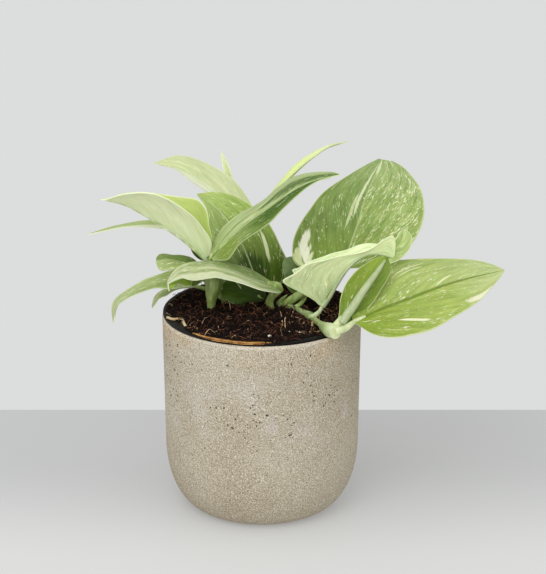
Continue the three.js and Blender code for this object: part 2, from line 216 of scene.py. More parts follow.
class Paint(Wiring):
    # a material: lit says how strongly light falls on it, so that its colours look as given
    def __init__(self, name, roughness, specular=0.5, subsurface=(0, 0.05), lit=0.9):
        self.material = bpy.data.materials.new(name)
        self.material.use_nodes = True
        super().__init__(self.material.node_tree)
        self.lit = lit
        self.shader = self.nodes["Principled BSDF"]
        sockets = {"Roughness": roughness, "Specular IOR Level": specular,
                   "Subsurface Weight": subsurface[0], "Subsurface Scale": subsurface[1]}
        for key, value in sockets.items():
            self.shader.inputs[key].default_value = value

    def coat(self, under, hue, mask, strength=None):
        # one more colour over what is there
        if strength is not None:
            mask = self.times(mask, strength)
        return self.blend(mask, under, tone(*hue, self.lit))

    def between(self, value, low, high, dark, light):
        return self.blend(self.ramp(value, low, high), tone(*dark, self.lit), tone(*light, self.lit))

    def relief(self, height, strength, distance):
        bump = self.add("ShaderNodeBump", {"Strength": strength, "Distance": distance, "Height": height})
        self.put(self.shader.inputs["Normal"], bump)

    def finish(self, colour, roughness=None):
        self.put(self.shader.inputs["Base Color"], colour)
        if roughness is not None:
            self.put(self.shader.inputs["Roughness"], roughness)
        return self.material


# camera, light and floor

shot = {"place": (7.313, -1408.617, 647.557), "pitch": 19.47, "lens": 143.86, "sensor": 36, "near": 50}
light = {
    # painted light: the table is painted lighter towards its front, where more light falls on it
    "wall": (220, 221, 221), "table": (188, 189, 189), "tableFrontLit": (210, 211, 210),
    "tableFade": (60, -100), "tableBack": 152, "tableReach": 2500, "tableGlow": 0.6, "tableLit": 1.5,
    # brightness away from where the light comes from, beside it and towards it
    "fromAbove": 0.75, "fromFront": 0.5, "glow": [(0.35, 0.5), (0.55, 0.66), (1, 1.12)],
    "keyPlace": (-500, -1300, 1500), "keyAim": (0, 0, 130), "keySize": 1200, "keyPower": 12,
}


def setCamera():
    bpy.ops.object.camera_add(location=Vector(shot["place"]) * mm,
                              rotation=(math.radians(90 - shot["pitch"]), 0, 0))
    camera = bpy.context.object
    camera.data.lens = shot["lens"]
    camera.data.sensor_width = shot["sensor"]
    camera.data.clip_start = shot["near"] * mm
    bpy.context.scene.camera = camera


def setLight():
    scene = bpy.context.scene
    scene.view_settings.view_transform = "Standard"
    scene.view_settings.look = "None"
    world = bpy.data.worlds.new("softStudio")
    scene.world = world
    world.use_nodes = True
    sky = Wiring(world.node_tree)
    shell = sky.nodes["Background"]
    seen = sky.add("ShaderNodeBackground", {"Color": tone(*light["wall"], lit=1)})
    # soft light comes mostly from above and from the front
    tilt = sky.add("ShaderNodeVectorMath", {0: sky.add("ShaderNodeTexCoord"),
                                            1: (0, -light["fromFront"], light["fromAbove"])},
                   out="Value", operation="DOT_PRODUCT")
    glow = sky.nodes.new("ShaderNodeValToRGB")
    sky.put(glow.inputs[0], sky.add("ShaderNodeMapRange", {"Value": tilt, "From Min": -1}))
    stops = glow.color_ramp.elements
    stops.new(0.5)
    for stop, (place, level) in zip(stops, light["glow"]):
        stop.position = place
        stop.color = (level, level, level, 1)
    sky.put(shell.inputs["Color"], glow.outputs[0])
    mixed = sky.add("ShaderNodeMixShader", {0: sky.add("ShaderNodeLightPath"),
                                            1: shell.outputs[0], 2: seen})
    sky.put(sky.nodes["World Output"].inputs["Surface"], mixed)
    bpy.ops.object.light_add(type="AREA", location=Vector(light["keyPlace"]) * mm)
    key = bpy.context.object
    key.data.size = light["keySize"] * mm
    key.data.energy = light["keyPower"]
    aim = Vector(light["keyAim"]) * mm - key.location
    key.rotation_euler = aim.to_track_quat("-Z", "Y").to_euler()


def setTable():
    reach = light["tableReach"] * mm
    back = light["tableBack"] * mm
    bpy.ops.mesh.primitive_plane_add(size=1)
    table = bpy.context.object
    table.name = "table"
    for vertex in table.data.vertices:
        vertex.co.x *= 2 * reach
        vertex.co.y = back if vertex.co.y > 0 else -reach
    paint = Paint("tableTop", 0.6, lit=light["tableLit"])
    y = paint.split(paint.place())[1]
    fadeBack, fadeFront = light["tableFade"]
    # painted light: the table is painted lighter towards the front, where more light falls on it
    colour = paint.between(y, fadeBack * mm, fadeFront * mm, light["table"], light["tableFrontLit"])
    # part of its light is its own, so that the shadow stays soft
    paint.put(paint.shader.inputs["Emission Color"], colour)
    paint.shader.inputs["Emission Strength"].default_value = light["tableGlow"]
    wear(table, paint.finish(colour))


setCamera()
setLight()
setTable()
print("camera, light and table set")


# the stoneware pot

pot = {"radius": 65, "height": 132, "shoulderRadius": 63.8, "shoulderHeight": 44, "footRadius": 41,
       "wall": 4, "floor": 6, "lipRound": 1.6, "outerSteps": 14, "innerSteps": 8, "wallSteps": 5,
       "sides": 128, "lit": 1.03,
       # grain size, detail, roughness, from, to, tone and strength
       "blooms": [(38, 4, 0.6, 0.5, 0.68, (203, 196, 188), 0.6),
                  (75, 3, 0.5, 0.64, 0.74, (192, 176, 182), 0.5)],
       # scale of the cells that hold the pinholes, and how many more a cluster has
       "pinholes": [(400, 0.26), (540, 0.42)]}


def corner(footRadius, wallRadius, low, high, steps):
    points = []
    for i in range(steps + 1):
        angle = math.pi / 2 * i / steps
        points.append((footRadius + (wallRadius - footRadius) * math.sin(angle),
                       high - (high - low) * math.cos(angle)))
    return points


def wallUp(start, end, steps):
    # points along a straight wall, without its start
    return [(lerp(start[0], end[0], i / steps), lerp(start[1], end[1], i / steps))
            for i in range(1, steps + 1)]


def throwRound(name, profile, sides):
    # a disc at the foot, drawn up ring by ring along the profile and closed at its end
    clearSelection()
    radius, height = profile[0]
    bpy.ops.mesh.primitive_circle_add(vertices=sides, radius=radius * mm, fill_type="NGON",
                                      location=(0, 0, height * mm))
    shape = bpy.context.object
    shape.name = name
    bpy.ops.object.transform_apply(location=True, rotation=False, scale=False)
    bpy.ops.object.mode_set(mode="EDIT")
    bpy.ops.mesh.select_all(action="SELECT")
    bpy.ops.mesh.flip_normals()
    bpy.ops.mesh.select_mode(type="EDGE")
    for nextRadius, nextHeight in profile[1:]:
        rise = (0, 0, (nextHeight - height) * mm)
        bpy.ops.mesh.extrude_edges_move(TRANSFORM_OT_translate={"value": rise})
        scale = nextRadius / radius
        bpy.ops.transform.resize(value=(scale, scale, 1), center_override=(0, 0, nextHeight * mm))
        radius, height = nextRadius, nextHeight
    bpy.ops.mesh.edge_face_add()
    faceOut(shape)
    return shape


def stonewarePaint():
    paint = Paint("stoneware", 0.85, 0.25, lit=pot["lit"])
    place = paint.place()
    z = paint.split(place)[2]
    fine = paint.grain(place, 1500, 1.0)
    sand = paint.grain(place, 1000, 2.0)
    colour = paint.between(paint.grain(place, 16, 3.0), 0.35, 0.65, (177, 165, 142), (189, 180, 160))
    # pale and lilac blooms at mid height, warm stain under the lip, browner towards the foot
    bloomZone = paint.times(paint.ramp(z, 0.05, 0.075), paint.ramp(z, 0.122, 0.095))
    for size, detail, roughness, low, high, hue, strength in pot["blooms"]:
        bloom = paint.ramp(paint.grain(place, size, detail, roughness), low, high)
        colour = paint.coat(colour, hue, paint.times(bloom, bloomZone), strength)
    warm = paint.times(paint.ramp(paint.grain(place, 27, 2.0), 0.42, 0.62), paint.ramp(z, 0.108, 0.131))
    colour = paint.coat(colour, (186, 156, 116), warm, 0.5)
    colour = paint.coat(colour, (156, 136, 108), paint.ramp(z, 0.075, 0.0), 0.3)
    # painted highlight: the rounded top of the lip is painted paler, where the light catches it
    colour = paint.coat(colour, (222, 214, 198), paint.ramp(z, 0.1299, 0.131, 0, 0.4))
    # sand grain, light and dark
    colour = paint.coat(colour, (226, 219, 202), paint.ramp(fine, 0.5, 0.72))
    colour = paint.coat(colour, (132, 118, 94), paint.ramp(fine, 0.48, 0.3), 0.8)
    colour = paint.coat(colour, (112, 96, 74), paint.ramp(sand, 0.36, 0.27), 0.7)
    # pinholes and short scratches, in clusters in the upper half
    upper = paint.times(paint.ramp(z, 0.055, 0.085), paint.ramp(z, 0.131, 0.122))
    crowd = paint.times(paint.ramp(paint.grain(place, 24, 3.0), 0.46, 0.6), upper)
    hole = None
    wander = paint.add("ShaderNodeTexNoise", {"Vector": place, "Scale": 500}, out=1)
    bent = paint.add("ShaderNodeVectorMath", {0: wander, 1: (0.0025, 0.0025, 0.0025), 2: place},
                     operation="MULTIPLY_ADD")
    for scale, crowding in pot["pinholes"]:
        cell = paint.nodes.new("ShaderNodeTexVoronoi")
        cell.inputs["Scale"].default_value = scale
        paint.links.new(bent, cell.inputs["Vector"])
        chance, spread, _ = paint.split(cell.outputs["Color"])
        chosen = paint.ramp(paint.calc("MULTIPLY_ADD", crowd, crowding, chance), 0.985, 1.005)
        size = paint.calc("MULTIPLY_ADD", spread, 0.2, 0.12)
        dot = paint.ramp(paint.calc("SUBTRACT", cell.outputs["Distance"], size), 0.06, -0.03)
        found = paint.times(dot, chosen)
        hole = paint.calc("MAXIMUM", hole, found) if hole else found
    colour = paint.coat(colour, (48, 42, 38), hole, 0.9)
    rough = paint.calc("MULTIPLY_ADD", fine, 0.5, paint.times(sand, 0.4))
    rough = paint.calc("SUBTRACT", rough, paint.times(hole, 1.2))
    paint.relief(rough, 0.55, 0.0004)
    return paint.finish(colour)


def makeStoneware():
    inside = pot["radius"] - pot["wall"]
    lip = pot["lipRound"]
    outer = corner(pot["footRadius"], pot["shoulderRadius"], 0, pot["shoulderHeight"], pot["outerSteps"])
    inner = corner(pot["footRadius"] - pot["wall"], pot["shoulderRadius"] - pot["wall"],
                   pot["floor"], pot["shoulderHeight"], pot["innerSteps"])
    profile = [(pot["footRadius"] - 1.2, 0)] + outer
    profile += wallUp(outer[-1], (pot["radius"], pot["height"] - lip), pot["wallSteps"])
    profile += [(pot["radius"] - lip * 0.3, pot["height"] - lip * 0.3),
                (pot["radius"] - lip, pot["height"]), (inside + lip, pot["height"]),
                (inside, pot["height"] - lip)]
    profile += reversed(inner)
    shape = throwRound("stonewarePot", profile, pot["sides"])
    smooth(shape, 60)
    wear(shape, stonewarePaint())
    hand(shape, "stoneware", "stoneware_pot")


makeStoneware()
print("stoneware pot thrown")


# the black grow pot inside it

growPot = {"rimRadius": 63.4, "seat": 132.3, "rimThickness": 1, "topRadius": 59, "footRadius": 47,
           "place": (-1.2, 1), "wall": 1.2, "footHeight": 21, "sides": 96,
           "holeRadius": 4.5, "holeCircle": 30, "holeCount": 4,
           # the thin rim has gone slightly wavy: height, number and start of the waves
           "waves": [(0.21, 5, 1), (0.12, 11, 0)]}


def blackPlastic():
    paint = Paint("blackPlastic", 0.5, 0.2)
    place = paint.place()
    dust = paint.ramp(paint.grain(place, 90, 4.0, 0.7), 0.5, 0.8)
    colour = paint.coat(tone(13, 13, 12), (48, 42, 36), dust, 0.45)
    paint.relief(paint.grain(place, 260, 2.0), 0.25, 0.0003)
    return paint.finish(colour, paint.ramp(dust, 0, 1, 0.5, 0.8))


def makeGrowPot():
    g = growPot
    top = g["seat"] + g["rimThickness"]
    mouth = g["topRadius"] - g["wall"]
    profile = [(g["footRadius"] - 2, g["footHeight"]), (g["footRadius"], g["footHeight"] + 1)]
    profile += wallUp(profile[-1], (g["topRadius"], g["seat"]), 4)
    profile += [(g["rimRadius"], g["seat"]), (g["rimRadius"], top - 0.3), (g["rimRadius"] - 0.4, top),
                (mouth + 0.8, top), (mouth, top - 0.5)]
    profile += [(lerp(mouth, g["footRadius"] - g["wall"], 0.5), lerp(top, g["footHeight"], 0.5)),
                (g["footRadius"] - g["wall"], g["footHeight"] + g["wall"])]
    shape = throwRound("growPot", profile, g["sides"])
    for i in range(g["holeCount"] + 1):
        angle = 2 * math.pi * i / g["holeCount"]
        reach = g["holeCircle"] if i < g["holeCount"] else 0
        clearSelection()
        bpy.ops.mesh.primitive_cylinder_add(vertices=24, radius=g["holeRadius"] * mm, depth=0.01,
                                            location=(reach * math.cos(angle) * mm,
                                                      reach * math.sin(angle) * mm,
                                                      g["footHeight"] * mm))
        cutter = bpy.context.object
        applyModifier(shape, "drain", "BOOLEAN", object=cutter, operation="DIFFERENCE", solver="EXACT")
        bpy.data.objects.remove(cutter, do_unlink=True)
    for vertex in shape.data.vertices:
        if vertex.co.z > (g["seat"] + 0.4) * mm:
            turn = math.atan2(vertex.co.y, vertex.co.x)
            for size, count, start in g["waves"]:
                vertex.co.z += size * mm * (1 + math.sin(count * turn + start))
        vertex.co.xy += Vector(g["place"]) * mm
    smooth(shape, 35)
    wear(shape, blackPlastic())
    hand(shape, "grow_pot", "grow_pot")


makeGrowPot()
print("grow pot hung")


# potting mix: a rough mound with loose crumbs and coir

mix = {"rim": 56.6, "foot": 45.2, "floor": 22.5, "edge": 130.5, "crown": 134.2, "rings": 70, "sides": 150,
       "shoulder": 2.4, "border": 4, "wash": (-44, -33), "washRadius": 15, "washDepth": 6.5,
       "flange": 133.42,
       # height, width and seed of the lumps
       "lumps": [(2.6, 8, 0), (1.7, 3.4, 5), (0.9, 1.5, 9)],
       # how far the mix has spilled over the rim, read every 15 degrees from the right
       "spill": [6.2, 6.2, 6, 6, 6, 6, 6, 6, 6, 5.8, 5.6, 5.4, 5, 3.6, 1, 4.4, 6.2, 6.6, 6.6, 6.6, 6.6,
                 6.4, 6.2, 6.2, 6.2]}


def spillAt(x, y):
    turn = math.atan2(y, x) / (2 * math.pi) % 1
    rough = 1 + 0.12 * noise.noise(Vector((x, y, 3)) / 4)
    return along(mix["spill"], turn) * rough


def mixHeight(x, y):
    x -= growPot["place"][0]
    y -= growPot["place"][1]
    reach = math.hypot(x, y)
    height = lerp(mix["crown"], mix["edge"] + mix["shoulder"], min(reach / mix["rim"], 1) ** 3)
    lumps = sum(size * noise.noise(Vector((x, y, seed)) / width) for size, width, seed in mix["lumps"])
    away = math.hypot(x - mix["wash"][0], y - mix["wash"][1]) / mix["washRadius"]
    wash = mix["washDepth"] * max(0, 1 - away ** 2)
    inner = mix["rim"] - mix["border"]
    if reach < inner:
        return height + lumps - wash
    # the spilled edge lies on the rim, and where there is none the mix drops away inside it
    lying = mix["flange"] + 0.5 + 0.25 * abs(lumps)
    bare = height + lumps * 0.5 - wash - 1.5
    spilled = min(max(spillAt(x, y) / 2, 0), 1)
    near = min((reach - inner) / mix["border"], 1)
    return lerp(height + lumps - wash, lerp(bare, lying, spilled), near)


def mixPaint(name, dark, light, scale):
    paint = Paint(name, 0.95, 0.15)
    place = paint.place()
    colour = paint.between(paint.grain(place, scale, 4.0, 0.7), 0.35, 0.68, dark, light)
    paint.relief(paint.grain(place, scale * 3, 3.0, 0.7), 0.8, 0.0006)
    return paint.finish(colour)


def makeMix():
    collar = mix["edge"] - 1
    profile = [(mix["foot"], mix["floor"]), (mix["rim"], mix["edge"] - 3), (mix["rim"], collar)]
    for i in range(mix["rings"]):
        profile.append((mix["rim"] * (1 - i / mix["rings"]), mix["edge"]))
    mound = throwRound("pottingMix", profile, mix["sides"])
    shift = Vector((*growPot["place"], 0))
    for vertex in mound.data.vertices:
        place = vertex.co / mm
        spilled = spillAt(place.x, place.y)
        if place.z > mix["edge"] - 0.5:
            reach = place.xy.length
            rimward = max(0, reach / mix["rim"] - 0.9) / 0.1
            if reach:
                place.xy *= (reach + spilled * rimward) / reach
            place += shift
            place.z = mixHeight(place.x, place.y)
            if rimward > 0.99:
                place.z = lerp(place.z - 1, mix["flange"], min(spilled, 1))
        else:
            place += shift
            if place.z > collar - 0.1:
                place.z = min(mix["flange"] - 0.04, mixHeight(place.x, place.y) - 1.2)
        vertex.co = place * mm
    smooth(mound, 180)
    wear(mound, mixPaint("mixGround", (9, 5, 4), (26, 17, 13), 420))
    hand(mound, "mix", "potting_mix")


def pointMesh(name, points, faces, shades):
    mesh = bpy.data.meshes.new(name)
    mesh.from_pydata(points, [], faces)
    mesh.polygons.foreach_set("material_index", shades)
    mesh.update()
    piece = bpy.data.objects.new(name, mesh)
    bpy.context.collection.objects.link(piece)
    return piece


def tubeMesh(name, strands, sides):
    # thin strands in one mesh: each is (points, radius, material index)
    points = []
    faces = []
    shades = []
    for path, radius, shade in strands:
        first = len(points)
        for i, point in enumerate(path):
            # the fixed direction is one that no strand follows
            ahead = (path[min(i + 1, len(path) - 1)] - path[max(i - 1, 0)]).normalized()
            side = ahead.cross(Vector((0.13, 0.21, 1))).normalized()
            other = side.cross(ahead)
            size = radius * (0.35 if i in (0, len(path) - 1) else 1)
            for k in range(sides):
                angle = 2 * math.pi * k / sides
                points.append((point + side * size * math.cos(angle) + other * size * math.sin(angle)) * mm)
        for i in range(len(path) - 1):
            for k in range(sides):
                a = first + i * sides + k
                b = first + i * sides + (k + 1) % sides
                faces.append((a, a + sides, b + sides, b))
                shades.append(shade)
        last = first + (len(path) - 1) * sides
        faces += [tuple(first + k for k in range(sides)), tuple(last + k for k in reversed(range(sides)))]
        shades += [shade, shade]
    piece = pointMesh(name, points, faces, shades)
    faceOut(piece)
    return piece


coir = {"count": 3000, "reach": 61.2, "length": (3, 13), "radius": (0.11, 0.27), "steps": 7,
        # most fibres lie low and the rest stand up
        "lying": 0.85, "low": (0.2, 1.2), "high": (1.5, 3.5), "bend": 2.6, "sway": 0.25,
        # shares of the four tones, in dull and in lively patches
        "shares": [(86, 38), (12, 36), (2, 20), (0.5, 6)],
        "roots": [((12.1, -5.9), (13, -20), (13.5, -33.5)), ((16.2, -13.4), (15, -25), (15.2, -36.6)),
                  ((21.2, -6.2), (19.8, -11), (19.6, -17.2)), ((27.9, -24.6), (26, -27), (25, -28.8)),
                  ((39.2, -40.1), (37, -43), (35, -44.6)), ((21.7, -44), (26, -42.6), (30, -42.6))]}


def onMix(x, y):
    # still over the mix and its spilled edge
    x -= growPot["place"][0]
    y -= growPot["place"][1]
    return math.hypot(x, y) < mix["rim"] + spillAt(x, y) + 0.6


def anySpot():
    reach = coir["reach"] * math.sqrt(random.random())
    turn = random.uniform(0, 2 * math.pi)
    return reach * math.cos(turn), reach * math.sin(turn)


def makeCoir():
    strands = []
    for _ in range(coir["count"]):
        x, y = anySpot()
        heading = random.uniform(0, 2 * math.pi)
        length = random.uniform(*coir["length"])
        bend = random.uniform(-coir["bend"], coir["bend"]) / coir["steps"]
        kind = "low" if random.random() < coir["lying"] else "high"
        rise = random.uniform(*coir[kind])
        path = []
        for i in range(coir["steps"]):
            f = i / (coir["steps"] - 1)
            if not onMix(x, y):
                break
            lift = rise * math.sin(math.pi * f) + random.uniform(-0.2, 0.2)
            path.append(Vector((x, y, mixHeight(x, y) + lift + 0.1)))
            heading += bend + random.uniform(-coir["sway"], coir["sway"])
            x += math.cos(heading) * length / coir["steps"]
            y += math.sin(heading) * length / coir["steps"]
        if len(path) < 4:
            continue
        bright = min(max(0.5 + 1.6 * noise.noise(Vector((x, y, 20)) / 9), 0), 1)
        shares = [lerp(dim, lively, bright) for dim, lively in coir["shares"]]
        shade = random.choices((0, 1, 2, 3), shares)[0]
        strands.append((path, random.uniform(*coir["radius"]), shade))
    for root in coir["roots"]:
        route = Route([(x, y, mixHeight(x, y) + 0.9) for x, y in root])
        strands.append(([route.at(i / 6) for i in range(7)], 0.42, 3))
    piece = tubeMesh("coirFibres", strands, 3)
    wear(piece, mixPaint("coirDark", (17, 10, 8), (34, 22, 17), 300),
         mixPaint("coirBrown", (58, 36, 27), (86, 56, 42), 300),
         mixPaint("coirRed", (104, 62, 46), (142, 94, 70), 300),
         mixPaint("coirTan", (170, 138, 102), (206, 178, 142), 300))
    smooth(piece, 80)
    hand(piece, "mix")


crumbs = {"count": 1300, "size": (0.3, 1.3), "power": 1.5,
          # pale bits of bark at their places
          "bits": [((-47.6, -1), 1.6), ((24, -44), 1.3), ((5, -50), 1.1), ((17.5, -40), 1.5),
                   ((38, -36), 1.0)]}


def makeCrumbs():
    points = []
    faces = []
    shades = []
    clearSelection()
    bpy.ops.mesh.primitive_ico_sphere_add(subdivisions=1, radius=1)
    seed = bpy.context.object
    shape = [v.co.copy() for v in seed.data.vertices]
    sheets = [tuple(p.vertices) for p in seed.data.polygons]
    bpy.data.objects.remove(seed, do_unlink=True)
    spots = []
    for _ in range(crumbs["count"]):
        spots.append((anySpot(), random.uniform(*crumbs["size"]) ** crumbs["power"]))
    for (x, y), size in spots + crumbs["bits"]:
        if not onMix(x, y):
            continue
        paleBit = ((x, y), size) in crumbs["bits"]
        stretch = Vector((random.uniform(0.6, 1.4), random.uniform(0.6, 1.4), random.uniform(0.5, 0.9)))
        centre = Vector((x, y, mixHeight(x, y) + size * 0.2))
        first = len(points)
        for point in shape:
            rough = point * size * random.uniform(0.7, 1.25)
            points.append((centre + Vector(a * b for a, b in zip(rough, stretch))) * mm)
        faces += [tuple(first + i for i in sheet) for sheet in sheets]
        shades += [2 if paleBit else random.choices((0, 1), (75, 25))[0]] * len(sheets)
    piece = pointMesh("barkCrumbs", points, faces, shades)
    wear(piece, mixPaint("crumbDark", (12, 8, 6), (34, 23, 18), 500),
         mixPaint("crumbBrown", (46, 31, 24), (80, 55, 42), 500),
         mixPaint("crumbPale", (196, 176, 150), (236, 226, 208), 300))
    hand(piece, "mix")


makeMix()
makeCoir()
makeCrumbs()
print("potting mix filled")


# stalks: stems, petioles and roots

def drawStalk(name, points, radii, sides, steps):
    route = Route(points)
    curve = bpy.data.curves.new(name, "CURVE")
    curve.dimensions = "3D"
    curve.bevel_depth = mm
    curve.bevel_resolution = sides // 4
    curve.use_fill_caps = True
    spline = curve.splines.new("POLY")
    spline.points.add(steps)
    for i in range(steps + 1):
        t = i / steps
        spline.points[i].co = (*(route.at(t) * mm), 1)
        spline.points[i].radius = along(radii, t)
    piece = bpy.data.objects.new(name, curve)
    bpy.context.collection.objects.link(piece)
    pick(piece)
    bpy.ops.object.convert(target="MESH")
    piece = bpy.context.object
    piece.data.name = name
    smooth(piece, 60)
    return piece


def stalkPaint(name, dark, light, streak, paleFrom=None):
    paint = Paint(name, 0.42, subsurface=(0.2, 0.002))
    place = paint.place()
    stretched = paint.add("ShaderNodeMapping", {"Vector": place, "Scale": (1, 1, 0.22)})
    colour = paint.between(paint.grain(stretched, 260, 3.0), 0.35, 0.68, dark, light)
    colour = paint.coat(colour, streak, paint.ramp(paint.grain(stretched, 620, 2.0), 0.58, 0.72), 0.6)
    if paleFrom:
        pale = paint.ramp(paint.split(place)[0], paleFrom * mm, (paleFrom + 7) * mm, 0, 0.85)
        colour = paint.coat(colour, (214, 222, 178), pale)
    paint.relief(paint.grain(stretched, 420, 2.0), 0.3, 0.0004)
    return paint.finish(colour)


stalkGreen = stalkPaint("stalkGreen", (122, 144, 70), (172, 190, 118), (206, 216, 160))
stalkPale = stalkPaint("stalkPale", (168, 184, 128), (206, 216, 170), (232, 236, 204))
stalkGrey = stalkPaint("stalkGrey", (162, 176, 130), (174, 186, 144), (184, 195, 156))
nodeCream = stalkPaint("nodeCream", (186, 198, 146), (210, 218, 172), (226, 231, 194))
creepGreen = stalkPaint("creepGreen", (132, 150, 92), (166, 182, 124), (206, 214, 168), 38)

stems = {
    "left_stem": {"path": [(-33, 4, 117), (-33, 4, 131), (-33, 5, 140), (-31.5, 6, 149), (-32, 8, 158)],
                  "radii": [3, 2.8, 2.6, 2.9, 4.8, 6.6, 5]},
    "left_side_stem": {"path": [(-25, 13, 117), (-25, 13, 131), (-25, 13, 138), (-27, 15, 145)],
                       "radii": [1.7, 1.7, 1.6]},
    "back_stem": {"path": [(-3, 35, 117), (-3, 36, 131), (-5, 38, 143), (-7, 42, 156)],
                  "radii": [2.6, 2.5, 2.4]},
    "creeping_stem": {"path": [(5, 22, 117), (9, 14, 130), (16, 5, 134.3), (23, -3, 135), (28, -10, 135.2),
                               (33, -20, 135.3), (37, -31, 135.8), (42, -44, 136.8), (47, -52, 137.6)],
                      "radii": [2.0, 2.0, 2.0, 2.2, 3.0, 2.0, 1.9, 2.0, 3.0, 2.0, 1.9, 2.3, 3.6, 4.8, 4.4],
                      "paint": creepGreen},
}


def drawAll(parts, sides, steps):
    for node, part in parts.items():
        piece = drawStalk(node.replace("_", ""), part["path"], part["radii"], sides, steps)
        wear(piece, part.get("paint", stalkGreen))
        hand(piece, part.get("slot", "stem"), node)


drawAll(stems, 16, 40)
print("stems drawn")


# leaves

blade = {"along": 44, "across": 18, "thickness": 0.6, "foldWidth": 5, "groove": 0.35,
         "grooveWidth": 1.1, "waves": 2.2, "ripple": 0.35, "bow": 0.06, "lobeFade": 14, "lobeWidth": 10}
stalk = {"radii": (2.0, 1.5, 1.2, 1.0), "rib": (0.9, 0.75, 0.6, 0.4, 0.2), "sides": 12,
         "ribEnd": 0.94, "ribPoints": 9, "ribSink": 0.45}

